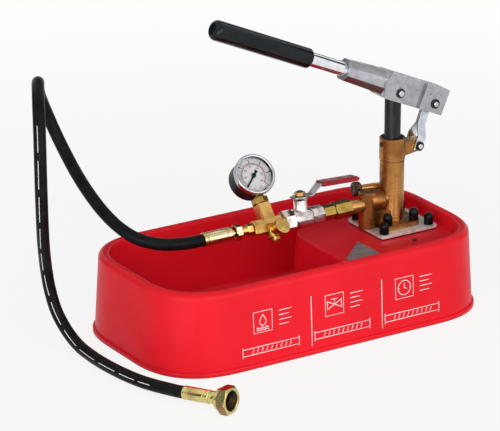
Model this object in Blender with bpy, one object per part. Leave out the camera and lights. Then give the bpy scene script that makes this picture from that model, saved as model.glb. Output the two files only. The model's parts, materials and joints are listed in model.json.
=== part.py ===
"""A hand lever hydrostatic test pump: a formed tub, a brass pump, its line, gauge and hose.

Metres, Z up. The origin is under the middle of the tub, +X runs from the basin to the pump.
"""
import math

import bmesh
import bpy
from mathutils import Vector

# Fits and cuts that every piece shares
seat_gap = 0.0003
run_gap = 0.0004
cut_overrun = 0.003
weld_distance = 0.00001

# Tub: one formed sheet with a rolled rim, a basin and a raised deck
tub_length = 0.356
tub_width = 0.1872
tub_height = 0.0787
tub_corner_radius = 0.07135
tub_sheet = 0.0026
flange_width = 0.002
flange_edge = 0.0032
flange_height = 0.0044
flange_step = 0.0006
rim_outer_radius = 0.0065
rim_inner_radius = 0.0035
deck_drop = 0.0129
basin_floor = 0.0055
floor_fillet = 0.006
deck_end_width = 0.148
deck_rear_ledge = 0.0466
deck_left = tub_length / 2 - deck_end_width
deck_rear = tub_width / 2 - deck_rear_ledge
deck_corner_radius = 0.028
deck_edge_radius = 0.003
corner_power = 2.5
draft_share = 0.056
corner_steps = 8
deck_top = tub_height - deck_drop

# Gasket and base plate
plate_length = 0.064
plate_width = 0.060
plate_thickness = 0.0028
plate_corner = 0.003
plate_inset = 0.0563
plate_x = tub_length / 2 - plate_inset
gasket_thickness = 0.0006
gasket_bottom = deck_top + seat_gap
plate_bottom = gasket_bottom + gasket_thickness + seat_gap
plate_top = plate_bottom + plate_thickness
plate_bolt_inset = 0.0065

# Nameplate and the small screw on the deck
nameplate_thickness = 0.0004
nameplate_inset = 0.0045
nameplate_plate_gap = 0.0207
nameplate_left = deck_left + nameplate_inset
nameplate_right = plate_x - plate_length / 2 - nameplate_plate_gap
nameplate_front_reach = 0.0171
nameplate_front = nameplate_front_reach - tub_width / 2
nameplate_skew_width = 0.0255
nameplate_width = 0.0570
nameplate_skew_end = nameplate_front + nameplate_skew_width
nameplate_rear = nameplate_front + nameplate_width
deck_screw_offset = 0.0054
deck_screw_x = plate_x - deck_screw_offset
deck_screw_plate_gap = 0.0149
deck_screw_y = -plate_width / 2 - deck_screw_plate_gap
deck_screw_head_radius = 0.0024
deck_screw_head_height = 0.0011
deck_screw_radius = 0.0014

# Pump foot, barrel, valve chamber and bridge
pump_offset = 0.0014
pump_x = plate_x - pump_offset
foot_bolt_x = 0.0150
foot_bolt_y = 0.0158
foot_thickness = 0.0046
foot_ear = 0.0052
foot_bottom = plate_top + seat_gap
foot_top = foot_bottom + foot_thickness
barrel_radius = 0.01175
barrel_bore_radius = 0.0092
barrel_top_rise = 0.0586
barrel_top = foot_top + barrel_top_rise
bore_floor_rise = 0.0038
bore_floor = foot_top + bore_floor_rise
ball_pocket_radius = 0.0034
ball_pocket_depth = 0.0058
suction_ball_radius = 0.0026
suction_port_radius = 0.0018
chamber_radius = 0.00875
chamber_top_rise = 0.0315
chamber_top = foot_top + chamber_top_rise
chamber_edge = 0.0008
chamber_offset = 0.0276
chamber_bore_radius = 0.0045
chamber_bore_bottom_rise = 0.0018
chamber_bore_bottom = foot_top + chamber_bore_bottom_rise
delivery_ball_radius = 0.0036
passage_radius = 0.0020
passage_height_rise = 0.0065
passage_height = foot_top + passage_height_rise
web_top_rise = 0.0115
web_top = foot_top + web_top_rise
web_half_width = 0.0050
web_end_inset = 0.0010
bridge_radius = 0.0104
bridge_z_rise = 0.0209
bridge_z = foot_top + bridge_z_rise
bridge_shoulder = 0.0140
bridge_chamfer = 0.0024
side_neck_x = 0.0061
side_neck_y = 0.0119
side_neck_z_rise = 0.0287
side_neck_z = foot_top + side_neck_z_rise
side_neck_turn = math.radians(168.0)
side_neck_radius = 0.0038
side_neck_tip_radius = 0.0035
side_neck_length = 0.0194

# Screw plug in the top of the valve chamber
plug_depth = 0.0050
plug_sunk = 0.0003
plug_slot_depth = 0.0008
plug_slot_half_width = 0.0005

# Ribbed check knob on the side neck
check_knob_radius = 0.0071
check_knob_length = 0.0075
check_knob_edge = 0.0010
check_spindle_radius = 0.0017
check_spindle_length = 0.0080

# Cylinder head with the lug that carries the links
head_radius = 0.0124
head_bottom = barrel_top + seat_gap
head_top_rise = 0.0810
head_top = foot_top + head_top_rise
head_bore_radius = 0.0082
head_edge = 0.0006
wiper_radius = 0.0103
wiper_depth = 0.0036
rod_radius = 0.0078
lug_x = 0.0254
lug_z_rise = 0.0693
lug_z = foot_top + lug_z_rise
lug_half_width = 0.0062
lug_radius = 0.0055
lug_root_drop = 0.0078
lug_root_bottom = lug_z - lug_root_drop
lug_root_rise = 0.0057
lug_root_top = lug_z + lug_root_rise
head_screw_radius = 0.0022
head_screw_rise = 0.0060
head_screw_z = lug_z + head_screw_rise
head_screw_length = 0.0026
head_screw_proud = 0.0010

# Rod, piston and lever linkage
rod_pin_z_rise = 0.1275
rod_pin_z = foot_top + rod_pin_z_rise
rod_top_reach = 0.0080
piston_bottom_rise = 0.0238
piston_bottom = foot_top + piston_bottom_rise
piston_length = 0.0130
piston_seal_width = 0.0030
piston_seal_groove = 0.0016
lever_angle = math.radians(23.7)
lever_arm = 0.0436
link_length = 0.0432
pin_radius = 0.0030
link_pin_radius = 0.0025
clip_radius = 0.0046
clip_thickness = 0.0008
clip_inset = 0.0016

# Lever head: closed top channel and an eight sided socket
cheek_half_width = 0.0125
channel_half_width = 0.0087
channel_roof = 0.0123
channel_left = 0.0128
cheek_right = 0.0554
cheek_low = 0.0090
cheek_high = 0.0163
cheek_front = 0.0150
cheek_nose = 0.0215
cheek_nose_height = 0.0047
socket_start = 0.0110
socket_mouth = 0.0640
socket_start_flats = 0.0240
socket_mouth_flats = 0.0200
socket_axis = 0.0049
socket_bore_depth = 0.0410
tube_radius = 0.0071
tube_bore_radius = 0.0059
tube_end = 0.2095
grip_start = 0.1070
grip_end = 0.2200
grip_radius = 0.0096
grip_round = 0.0050

# Joggled link straps
strap_width = 0.0090
strap_thickness = 0.0020
strap_inner_low = lug_half_width + run_gap
strap_inner_high = 0.00015
strap_joggle_start = 0.0095
strap_joggle_end = 0.0205
strap_end = 0.0047

# Acorn caps with their studs
cap_radius = 0.0048
cap_skirt = 0.0052
cap_height = 0.0110
cap_tip_radius = 0.0012
stud_radius = 0.0019
backing_nut_radius = 0.0040
backing_nut_height = 0.0030

# Brass line from the pump to the hose
line_z_rise = 0.0191
line_z = foot_top + line_z_rise
line_reach = 0.1203
line_x = pump_x - line_reach
spigot_left = 0.0721
spigot_right = 0.0862
spigot_radius = 0.0063
line_bore_radius = 0.0026
adapter_large_left = 0.0533
adapter_large_flats = 0.0152
adapter_small_left = 0.0408
adapter_small_flats = 0.0134
hex_chamfer = 0.0008

# Ball valve
valve_x = 0.0181
valve_right = 0.0405
valve_right_flats = 0.0165
valve_right_start = 0.0276
valve_left = 0.0077
valve_body_radius = 0.0100
valve_body_edge = 0.0018
valve_chamber_radius = 0.0072
valve_chamber_end = 0.0260
valve_ball_radius = 0.0068
valve_end_left = -0.0037
valve_end_flats = 0.0185
valve_lean = math.radians(8.0)
valve_neck_radius = 0.0066
valve_neck_top = 0.0178
valve_stem_radius = 0.0028
valve_stem_top = 0.0265
lever_plate_height = 0.0198
lever_plate_thickness = 0.0018
lever_hub_radius = 0.0085
lever_flat_end = 0.0120
lever_rise_end = 0.0215
lever_rise = 0.0084
lever_length = 0.0615
lever_half_width = 0.0050
sleeve_half_width = 0.0062
sleeve_start = 0.0225
sleeve_end = 0.0640
sleeve_thickness = 0.0046
sleeve_drop = 0.0016
lever_nut_flats = 0.0095
lever_nut_height = 0.0036

# Manifold: hexagon bar with a gauge post, turned back about the line
manifold_left = -0.0368
manifold_right = -0.0040
manifold_flats = 0.0130
gauge_x = -0.0182
gauge_lean = math.radians(39.0)
gauge_turn = math.radians(-5.0)
post_half_width = 0.0059
post_top = 0.0213
gauge_hex_flats = 0.0140
gauge_reach = 0.0485
gauge_case_radius = 0.0190
gauge_hex_top = 0.0280
gauge_neck_radius = 0.0050
gauge_back = 0.0118
gauge_front = 0.0117
gauge_sheet = 0.0012
gauge_case_front = 0.0090
gauge_bezel_radius = 0.0200
gauge_bezel_inner = 0.0172
gauge_bezel_depth = 0.0060
gauge_dial_radius = 0.0176
gauge_dial_thickness = 0.0006
gauge_dial_place = 0.0050
gauge_lens_thickness = 0.0010
gauge_lens_place = 0.0098
pointer_length = 0.0135
pointer_tail = 0.0060
pointer_half_width = 0.0008
pointer_tail_half_width = 0.0018
pointer_hub_radius = 0.0022
pointer_thickness = 0.0005
pointer_rest = math.radians(134.0)
bourdon_radius = 0.0105
bourdon_tube_radius = 0.0016
bourdon_place = -0.0030
bourdon_start = math.radians(-70.0)
bourdon_sweep = math.radians(260.0)

# Release valve on the far side of the manifold from the gauge
release_x = -0.0160
release_turn = math.radians(-9.0)
release_drop = 0.0072
release_body_radius = 0.0074
release_body_end = 0.0122
release_neck_radius = 0.0060
release_neck_end = 0.0095
release_knob_radius = 0.0077
release_knob_start = 0.0105
release_knob_end = 0.0168
release_knob_edge = 0.0009
release_spindle_radius = 0.0025
release_spindle_depth = 0.0038
drain_radius = 0.0042
drain_bore_radius = 0.0026
drain_length = 0.0035

# Hose fittings
nipple_left = -0.0432
nipple_flats = 0.0100
nipple_thread_radius = 0.0046
nipple_thread_reach = 0.0098
swivel_left = -0.0562
swivel_right = -0.0504
swivel_flats = 0.0136
ferrule_left = -0.0909
ferrule_right = -0.0605
ferrule_radius = 0.0066
ferrule_edge = 0.0010
tail_radius = 0.0038
tail_bore_radius = 0.0022
hose_radius = 0.0058

# Fitting on the free end of the hose
end_nut_place = (-0.16933, -0.16411, 0.01217)
end_fitting_heading = math.radians(-65.7)
end_fitting_tilt = math.radians(4.2)
end_ferrule_start = 0.04305
end_ferrule_length = 0.0280
end_ferrule_radius = 0.0064
end_groove_radius = 0.0056
end_groove_width = 0.0012
end_ring_radius = 0.0061
end_ring_length = 0.0062
end_collar_radius = 0.0050
end_nut_flats = 0.0240
end_nut_half_length = 0.00725
end_nut_round_length = 0.0052
end_nut_round_radius = 0.0099
end_nut_bore_radius = 0.0094
end_nut_shoulder = 0.0020
end_tail_flange_radius = 0.0080
end_tail_flange = 0.0016

# Suction pipe below the deck and its strainer in the basin
suction_radius = 0.0038
suction_height = 0.0200
suction_bend = 0.0140
suction_end_offset = 0.0060
suction_end_x = deck_left - suction_end_offset
suction_hole_radius = 0.0046
strainer_radius = 0.0075
strainer_length = 0.0180
strainer_wall = 0.0013

# Route of the hose, chosen by hand from where it shows
hose_route = (
    (-0.0912, 0.0000, 0.0942), (-0.1122, 0.0003, 0.0945), (-0.1318, 0.0065, 0.0960),
    (-0.1473, 0.0198, 0.0998), (-0.1569, 0.0373, 0.1072), (-0.1630, 0.0559, 0.1178),
    (-0.1672, 0.0740, 0.1307), (-0.1702, 0.0912, 0.1449), (-0.1724, 0.1071, 0.1602),
    (-0.1761, 0.1192, 0.1777), (-0.1827, 0.1240, 0.1977), (-0.1917, 0.1199, 0.2169),
    (-0.2008, 0.1077, 0.2317), (-0.2097, 0.0910, 0.2420), (-0.2197, 0.0728, 0.2476),
    (-0.2299, 0.0544, 0.2454), (-0.2386, 0.0381, 0.2346), (-0.2443, 0.0271, 0.2167),
    (-0.2467, 0.0225, 0.1953), (-0.2467, 0.0223, 0.1730), (-0.2450, 0.0249, 0.1509),
    (-0.2417, 0.0303, 0.1296), (-0.2366, 0.0386, 0.1098), (-0.2301, 0.0486, 0.0913),
    (-0.2237, 0.0573, 0.0723), (-0.2190, 0.0600, 0.0518), (-0.2159, 0.0540, 0.0320),
    (-0.2128, 0.0405, 0.0165), (-0.2112, 0.0221, 0.0080), (-0.2111, 0.0005, 0.0059),
    (-0.2110, -0.0229, 0.0059), (-0.2092, -0.0438, 0.0059), (-0.2064, -0.0623, 0.0059),
    (-0.2028, -0.0773, 0.0059), (-0.1991, -0.0886, 0.0061), (-0.1955, -0.0985, 0.0065),
    (-0.1922, -0.1090, 0.0073),
)
hose_point_count = 60
hose_straight = 0.0080

# Turned pieces: how many sides
fine_sides = 32
round_sides = 24
small_sides = 16
tiny_sides = 12


def material(name, color, roughness, metallic=0.0):
    """A plain Principled BSDF in the colour of the real finish."""
    finish = bpy.data.materials.new(name)
    finish.use_nodes = True
    shader = finish.node_tree.nodes["Principled BSDF"]
    shader.inputs["Base Color"].default_value = (*color, 1.0)
    shader.inputs["Roughness"].default_value = roughness
    shader.inputs["Metallic"].default_value = metallic
    return finish


def make_materials():
    """Every finish on the pump, by the name of its material slot."""
    return {
        "red_sheet": material("red_sheet", (0.62, 0.02, 0.03), 0.35),
        "name_plate": material("name_plate", (0.35, 0.33, 0.34), 0.4, 0.6),
        "dark_steel": material("dark_steel", (0.03, 0.03, 0.03), 0.4, 0.6),
        "gasket_rubber": material("gasket_rubber", (0.02, 0.02, 0.02), 0.8),
        "zinc_plate": material("zinc_plate", (0.75, 0.75, 0.77), 0.3, 1.0),
        "bronze": material("bronze", (0.60, 0.33, 0.13), 0.35, 1.0),
        "brass": material("brass", (0.72, 0.50, 0.20), 0.28, 1.0),
        "black_plastic": material("black_plastic", (0.01, 0.01, 0.01), 0.3),
        "nickel": material("nickel", (0.66, 0.61, 0.60), 0.25, 1.0),
        "cast_aluminium": material("cast_aluminium", (0.52, 0.52, 0.54), 0.5, 1.0),
        "bright_steel": material("bright_steel", (0.70, 0.72, 0.76), 0.2, 1.0),
        "chrome": material("chrome", (0.80, 0.81, 0.83), 0.08, 1.0),
        "red_sleeve": material("red_sleeve", (0.45, 0.01, 0.03), 0.35),
        "dial_white": material("dial_white", (0.82, 0.80, 0.82), 0.5),
        "clear_lens": material("clear_lens", (0.9, 0.9, 0.9), 0.05),
        "hose_rubber": material("hose_rubber", (0.015, 0.015, 0.015), 0.45),
        "plated_brass": material("plated_brass", (0.70, 0.58, 0.28), 0.25, 1.0),
    }


def clear_scene():
    """Remove what is in the scene before the pump is modelled."""
    for item in list(bpy.data.objects):
        bpy.data.objects.remove(item, do_unlink=True)


def frame(name, place, rotation=(0, 0, 0), parent=None):
    """An empty that carries pieces at a joint or on an axis."""
    empty = bpy.data.objects.new(name, None)
    bpy.context.scene.collection.objects.link(empty)
    empty.location = place
    empty.rotation_euler = rotation
    empty.parent = parent
    return empty


def finish(name, shape, finish_material, parent=None, smooth=True):
    """Turn a bmesh into a named object on its frame."""
    bmesh.ops.remove_doubles(shape, verts=shape.verts[:], dist=weld_distance)
    mesh = bpy.data.meshes.new(name)
    shape.to_mesh(mesh)
    shape.free()
    if finish_material:
        mesh.materials.append(finish_material)
    if smooth:
        mesh.shade_smooth()
        mesh.set_sharp_from_angle(angle=math.radians(35))
    piece = bpy.data.objects.new(name, mesh)
    bpy.context.scene.collection.objects.link(piece)
    piece.parent = parent
    return piece


def turned(name, outline, finish_material, parent=None, sides=round_sides):
    """Spin an outline of (radius, height) points about the frame's Z axis.

    An outline that starts and ends on the axis is solid, any other one is a closed ring.
    """
    shape = bmesh.new()
    ring = [shape.verts.new((radius, 0, height)) for radius, height in outline]
    edges = [shape.edges.new(pair) for pair in zip(ring, ring[1:])]
    if outline[0][0] > 0:
        edges.append(shape.edges.new((ring[-1], ring[0])))
    bmesh.ops.spin(shape, geom=ring + edges, axis=(0, 0, 1), cent=(0, 0, 0),
                   angle=math.tau, steps=sides, use_merge=True)
    bmesh.ops.remove_doubles(shape, verts=shape.verts[:], dist=weld_distance)
    bmesh.ops.recalc_face_normals(shape, faces=shape.faces[:])
    return finish(name, shape, finish_material, parent)


def prism(name, outline, low, high, finish_material, parent=None, up="Z"):
    """Extrude a flat outline between two heights along the frame's Z or Y axis."""
    shape = bmesh.new()
    if up == "Z":
        corners = [shape.verts.new((x, y, low)) for x, y in outline]
        travel = (0, 0, high - low)
    else:
        corners = [shape.verts.new((x, low, z)) for x, z in outline]
        travel = (0, high - low, 0)
    face = shape.faces.new(corners)
    grown = bmesh.ops.extrude_face_region(shape, geom=[face])
    moved = [item for item in grown["geom"] if isinstance(item, bmesh.types.BMVert)]
    bmesh.ops.translate(shape, vec=travel, verts=moved)
    bmesh.ops.recalc_face_normals(shape, faces=shape.faces[:])
    return finish(name, shape, finish_material, parent, smooth=False)


def box_outline(half_x, half_y, center_x=0, center_y=0, round_radius=0, steps=4):
    """A rectangle with round corners, counterclockwise."""
    if round_radius == 0:
        corners = ((1, 1), (-1, 1), (-1, -1), (1, -1))
        return [(center_x + half_x * sx, center_y + half_y * sy) for sx, sy in corners]
    points = []
    for corner, (sx, sy) in enumerate(((1, 1), (-1, 1), (-1, -1), (1, -1))):
        for step in range(steps + 1):
            angle = math.pi / 2 * (corner + step / steps)
            points.append((center_x + sx * (half_x - round_radius) + round_radius * math.cos(angle),
                           center_y + sy * (half_y - round_radius) + round_radius * math.sin(angle)))
    return points


def hexed(name, low, high, flats, finish_material, parent=None, sides=6, turn=0):
    """A chamfered bar with flat sides along the frame's Z axis."""
    corner = flats / 2 / math.cos(math.pi / sides)
    levels = ((low, corner - hex_chamfer), (low + hex_chamfer, corner),
              (high - hex_chamfer, corner), (high, corner - hex_chamfer))
    shape = bmesh.new()
    rings = []
    for height, radius in levels:
        spots = [turn + math.tau * (side + 0.5) / sides for side in range(sides)]
        rings.append([shape.verts.new((radius * math.cos(a), radius * math.sin(a), height))
                      for a in spots])
    for ring, upper in zip(rings, rings[1:]):
        for side in range(sides):
            after = (side + 1) % sides
            shape.faces.new((ring[side], ring[after], upper[after], upper[side]))
    shape.faces.new(list(reversed(rings[0])))
    shape.faces.new(rings[-1])
    bmesh.ops.recalc_face_normals(shape, faces=shape.faces[:])
    return finish(name, shape, finish_material, parent, smooth=False)


def combine(piece, tool, operation):
    """Join a tool to a piece, or cut it away, with an exact Boolean."""
    change = piece.modifiers.new(operation.lower(), "BOOLEAN")
    change.operation = operation
    change.solver = "EXACT"
    change.object = tool
    tool.hide_render = True
    tool.display_type = "WIRE"
    return piece


def drill(piece, radius, low, high, parent, sides=tiny_sides, place=None):
    """Cut a round hole along the Z axis of a frame."""
    at = parent
    if place:
        at = frame(piece.name + "_hole_at", place, parent=parent)
    tool = turned(piece.name + "_hole", [(0, low), (radius, low), (radius, high), (0, high)],
                  None, at, sides)
    return combine(piece, tool, "DIFFERENCE")


def line_frame(name="line_axis"):
    """A frame on the line whose Z axis runs along +X."""
    return frame(name, (line_x, 0, line_z), (0, math.pi / 2, 0))


def wall_ring(offset, inset):
    """One level of the tub's wall, split where the deck's edges meet it.

    The first list runs from the deck's front end round the pump side to its rear end, the
    second one on round the basin. inset moves the deck's free edges inwards.
    """
    half_x = tub_length / 2 - offset
    half_y = tub_width / 2 - offset
    radius = tub_corner_radius - offset

    def corner(sign_x, sign_y, start, stop, steps):
        points = []
        for step in range(steps + 1):
            angle = start + (stop - start) * step / steps
            across = max(0, math.cos(angle)) ** (2 / corner_power)
            along = max(0, math.sin(angle)) ** (2 / corner_power)
            points.append((sign_x * (half_x - radius + radius * across),
                           sign_y * (half_y - radius + radius * along)))
        return points

    reach = (deck_rear - inset - (half_y - radius)) / radius
    split = math.asin(reach ** (corner_power / 2))
    quarter = math.pi / 2
    half_steps = corner_steps // 2
    pump_side = [(deck_left + inset, -half_y)]
    pump_side += corner(1, -1, quarter, 0, corner_steps)
    pump_side += corner(1, 1, 0, split, half_steps)
    basin_side = corner(1, 1, split, quarter, half_steps)
    basin_side += corner(-1, 1, quarter, 0, corner_steps)
    basin_side += corner(-1, -1, 0, quarter, corner_steps)
    basin_side += [(deck_left + inset, -half_y)]
    return pump_side, basin_side


def deck_edge(inset, steps=corner_steps):
    """The deck's free edge between its ends: up the left side, round the corner."""
    radius = deck_corner_radius - inset
    center_x = deck_left + inset + radius
    center_y = deck_rear - inset - radius
    points = []
    for step in range(steps + 1):
        angle = math.pi - math.pi / 2 * step / steps
        points.append((center_x + radius * math.cos(angle), center_y + radius * math.sin(angle)))
    return points


def wall_levels():
    """(offset, height) of the sheet from the flange over the rim down to the deck."""
    levels = [(-flange_width, 0), (-flange_width, flange_edge),
              (-flange_width + flange_step, flange_height - flange_step / 2), (0, flange_height)]
    shoulder = tub_height - rim_outer_radius
    start = draft_share * (shoulder - flange_height)
    levels.append((start, shoulder))
    for step in range(1, 5):
        angle = math.pi / 2 * step / 4
        levels.append((start + rim_outer_radius * (1 - math.cos(angle)),
                       shoulder + rim_outer_radius * math.sin(angle)))
    crest = start + rim_outer_radius
    for step in range(1, 4):
        angle = math.pi / 2 * step / 3
        levels.append((crest + rim_inner_radius * math.sin(angle),
                       tub_height - rim_inner_radius * (1 - math.cos(angle))))
    return levels


def inner_offset(height):
    """How far the inner wall stands in from the tub's outline at a height."""
    top, top_height = wall_levels()[-1]
    return top + draft_share * (top_height - height)


def basin_levels():
    """(offset, inset, height) of the basin from the deck's edge down to the floor."""
    levels = []
    for step in range(1, 4):
        angle = math.pi / 2 * step / 3
        height = deck_top - deck_edge_radius * (1 - math.cos(angle))
        levels.append((inner_offset(height), deck_edge_radius * (1 - math.sin(angle)), height))
    foot = basin_floor + floor_fillet
    lean = draft_share * (deck_top - deck_edge_radius - foot)
    levels.append((inner_offset(foot), -lean, foot))
    for step in range(1, 5):
        angle = math.pi / 2 * step / 4
        reach = floor_fillet * (1 - math.cos(angle))
        levels.append((inner_offset(foot) + reach, -lean - reach,
                       foot - floor_fillet * math.sin(angle)))
    return levels


def bridge(shape, ring, after):
    """Quads between two closed rings with the same number of points."""
    count = len(ring)
    for spot in range(count):
        nxt = (spot + 1) % count
        shape.faces.new((ring[spot], ring[nxt], after[nxt], after[spot]))


def make_tub(finishes):
    """The formed tub: a stack of rings, thickened to the sheet and drilled."""
    shape = bmesh.new()
    inset = deck_edge_radius
    levels = wall_levels() + [(inner_offset(deck_top), deck_top)]
    previous = None
    for offset, height in levels:
        pump_side, basin_side = wall_ring(offset, inset)
        pump_verts = [shape.verts.new((x, y, height)) for x, y in pump_side]
        basin_verts = [shape.verts.new((x, y, height)) for x, y in basin_side[1:-1]]
        ring = pump_verts + basin_verts
        if previous:
            bridge(shape, previous, ring)
        previous = ring
    edge = [shape.verts.new((x, y, deck_top)) for x, y in deck_edge(inset)]
    shape.faces.new(pump_verts + list(reversed(edge)))
    loop = [pump_verts[-1]] + basin_verts + [pump_verts[0]] + edge
    for offset, inset_now, height in basin_levels():
        basin_side = wall_ring(offset, inset_now)[1]
        points = basin_side + deck_edge(inset_now)
        lower = [shape.verts.new((x, y, height)) for x, y in points]
        bridge(shape, loop, lower)
        loop = lower
    shape.faces.new(loop)
    tub = finish("tub", shape, finishes["red_sheet"])
    sheet = tub.modifiers.new("sheet", "SOLIDIFY")
    sheet.thickness = tub_sheet
    sheet.offset = -1
    sheet.use_even_offset = True
    sheet.use_quality_normals = True
    below = deck_top - tub_sheet - cut_overrun
    above = deck_top + cut_overrun
    stud_hole = stud_radius + seat_gap
    for place in plate_bolt_places() + foot_bolt_places():
        drill(tub, stud_hole, below, above, None, place=(*place, 0))
    drill(tub, suction_radius + seat_gap, below, above, None, place=(pump_x, 0, 0))
    drill(tub, deck_screw_radius + seat_gap, below, above, None,
          place=(deck_screw_x, deck_screw_y, 0))
    wall = frame("suction_wall_at", (deck_left, 0, suction_height), (0, -math.pi / 2, 0))
    drill(tub, suction_hole_radius, -cut_overrun * 2, cut_overrun * 3, wall, small_sides)
    return tub


def plate_bolt_places():
    """Where the four studs of the base plate stand."""
    half_x = plate_length / 2 - plate_bolt_inset
    half_y = plate_width / 2 - plate_bolt_inset
    return [(plate_x + half_x * sx, half_y * sy) for sx in (-1, 1) for sy in (-1, 1)]


def foot_bolt_places():
    """Where the four studs of the pump's foot stand."""
    return [(pump_x + foot_bolt_x * sx, foot_bolt_y * sy) for sx in (-1, 1) for sy in (-1, 1)]


def make_deck_pieces(finishes):
    """Nameplate, deck screw, gasket and base plate."""
    corners = [(nameplate_right, nameplate_rear), (nameplate_left, nameplate_skew_end),
               (nameplate_left, nameplate_front), (nameplate_right, nameplate_front)]
    bottom = deck_top + seat_gap
    prism("nameplate", corners, bottom, bottom + nameplate_thickness, finishes["name_plate"])
    screw_at = frame("deck_screw_at", (deck_screw_x, deck_screw_y, bottom))
    shank = deck_screw_radius
    head = deck_screw_head_radius
    turned("deck_screw", [(0, -tub_sheet * 2), (shank, -tub_sheet * 2), (shank, 0), (head, 0),
                          (head, deck_screw_head_height / 2), (shank, deck_screw_head_height),
                          (0, deck_screw_head_height)], finishes["dark_steel"], screw_at, tiny_sides)
    outline = box_outline(plate_length / 2, plate_width / 2, plate_x, 0, plate_corner)
    gasket = prism("base_gasket", outline, gasket_bottom, gasket_bottom + gasket_thickness,
                   finishes["gasket_rubber"])
    plate = prism("base_plate", outline, plate_bottom, plate_top, finishes["zinc_plate"])
    for piece in (gasket, plate):
        for place in plate_bolt_places() + foot_bolt_places():
            drill(piece, stud_radius + seat_gap, deck_top, foot_top, None, place=(*place, 0))
        drill(piece, suction_radius + seat_gap, deck_top, foot_top, None, place=(pump_x, 0, 0))


def make_cap(name, place, seat, finishes):
    """An acorn cap with its stud and the nut under the deck, one piece."""
    at = frame(name + "_at", (*place, seat + seat_gap))
    under = deck_top - tub_sheet - seat_gap - seat - seat_gap
    outline = [(0, under - backing_nut_height), (backing_nut_radius, under - backing_nut_height),
               (backing_nut_radius, under), (stud_radius, under), (stud_radius, 0), (cap_radius, 0),
               (cap_radius, cap_skirt)]
    dome = cap_height - cap_skirt
    for step in range(1, 5):
        angle = math.pi / 2 * step / 5
        outline.append((cap_tip_radius + (cap_radius - cap_tip_radius) * math.cos(angle),
                        cap_skirt + dome * math.sin(angle)))
    outline += [(cap_tip_radius, cap_height), (0, cap_height)]
    turned(name, outline, finishes["black_plastic"], at, tiny_sides)


def make_caps(finishes):
    """Four caps on the base plate and four on the pump's foot."""
    for number, place in enumerate(plate_bolt_places(), 1):
        make_cap("plate_cap_%d" % number, place, plate_top, finishes)
    for number, place in enumerate(foot_bolt_places(), 1):
        make_cap("foot_cap_%d" % number, place, foot_top, finishes)


def make_pump_body(finishes):
    """Foot, barrel, valve chamber, bridge and side neck joined, then bored."""
    bronze = finishes["bronze"]
    chamber_x = pump_x - chamber_offset
    corner = foot_ear
    foot = box_outline(foot_bolt_x + foot_ear, foot_bolt_y + foot_ear, pump_x, 0, corner)
    body = prism("pump_body", foot, foot_bottom, foot_top, bronze)
    axis = frame("pump_axis", (pump_x, 0, 0))
    inside = foot_bottom + foot_thickness / 2
    barrel = turned("barrel_shape", [(0, inside), (barrel_radius, inside),
                                     (barrel_radius, barrel_top), (0, barrel_top)],
                    None, axis, fine_sides)
    chamber_at = frame("chamber_axis", (chamber_x, 0, 0))
    rim = chamber_radius - chamber_edge
    chamber = turned("chamber_shape", [(0, foot_bottom), (rim, foot_bottom),
                                       (chamber_radius, foot_bottom + chamber_edge),
                                       (chamber_radius, chamber_top - chamber_edge),
                                       (rim, chamber_top), (0, chamber_top)],
                     None, chamber_at, fine_sides)
    middle = (pump_x + chamber_x) / 2
    reach = chamber_offset / 2 - web_end_inset
    web = prism("web_shape", box_outline(reach, web_half_width, middle), inside, web_top, None)
    bridge_at = frame("bridge_axis", (chamber_x, 0, bridge_z), (0, math.pi / 2, 0))
    shoulder = bridge_radius - bridge_chamfer
    bridge_round = turned("bridge_shape", [(0, 0), (bridge_radius, 0),
                                           (bridge_radius, bridge_shoulder),
                                           (shoulder, bridge_shoulder + bridge_chamfer),
                                           (shoulder, chamber_offset), (0, chamber_offset)],
                          None, bridge_at)
    neck_at = frame("side_neck_at", (pump_x - side_neck_x, side_neck_y, side_neck_z),
                    (0, math.pi / 2, side_neck_turn))
    neck = turned("side_neck_shape", [(0, -side_neck_radius), (side_neck_radius, -side_neck_radius),
                                      (side_neck_radius, side_neck_length / 2),
                                      (side_neck_tip_radius, side_neck_length),
                                      (0, side_neck_length)], None, neck_at, small_sides)
    for part in (barrel, chamber, web, bridge_round, neck):
        combine(body, part, "UNION")
    pocket_floor = bore_floor - ball_pocket_depth
    bore = turned("bore_shape", [(0, foot_bottom - cut_overrun),
                                 (suction_port_radius, foot_bottom - cut_overrun),
                                 (suction_port_radius, pocket_floor),
                                 (ball_pocket_radius, pocket_floor),
                                 (ball_pocket_radius, bore_floor), (barrel_bore_radius, bore_floor),
                                 (barrel_bore_radius, barrel_top + cut_overrun),
                                 (0, barrel_top + cut_overrun)], None, axis, fine_sides)
    combine(body, bore, "DIFFERENCE")
    body.modifiers.new("faces", "TRIANGULATE")
    drill(body, chamber_bore_radius, chamber_bore_bottom, chamber_top + cut_overrun, chamber_at,
          small_sides)
    passage_at = frame("passage_at", (chamber_x, 0, passage_height), (0, math.pi / 2, 0))
    drill(body, passage_radius, 0, chamber_offset, passage_at)
    outlet_at = line_frame("outlet_hole_axis")
    middle = chamber_x - line_x
    left = middle - chamber_radius - cut_overrun
    right = spigot_right + seat_gap
    outlet = turned("outlet_shape", [(0, left), (spigot_radius + seat_gap, left),
                                     (spigot_radius + seat_gap, right), (line_bore_radius, right),
                                     (line_bore_radius, middle), (0, middle)],
                    None, outlet_at)
    combine(body, outlet, "DIFFERENCE")
    drill(body, check_spindle_radius + seat_gap, side_neck_length - check_spindle_length - seat_gap,
          side_neck_length + cut_overrun, neck_at)
    for place in foot_bolt_places():
        drill(body, stud_radius + seat_gap, foot_bottom - cut_overrun, foot_top + cut_overrun, None,
              place=(*place, 0))
    make_valve_balls(finishes, axis, chamber_at)
    make_plug(finishes, chamber_at)
    return neck_at


def sphere_outline(radius, center, steps=8):
    """Half a circle for a ball turned about the Z axis."""
    return [(radius * math.sin(math.pi * step / steps), center - radius * math.cos(math.pi * step / steps))
            if 0 < step < steps else (0, center - radius * (1 if step == 0 else -1))
            for step in range(steps + 1)]


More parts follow.
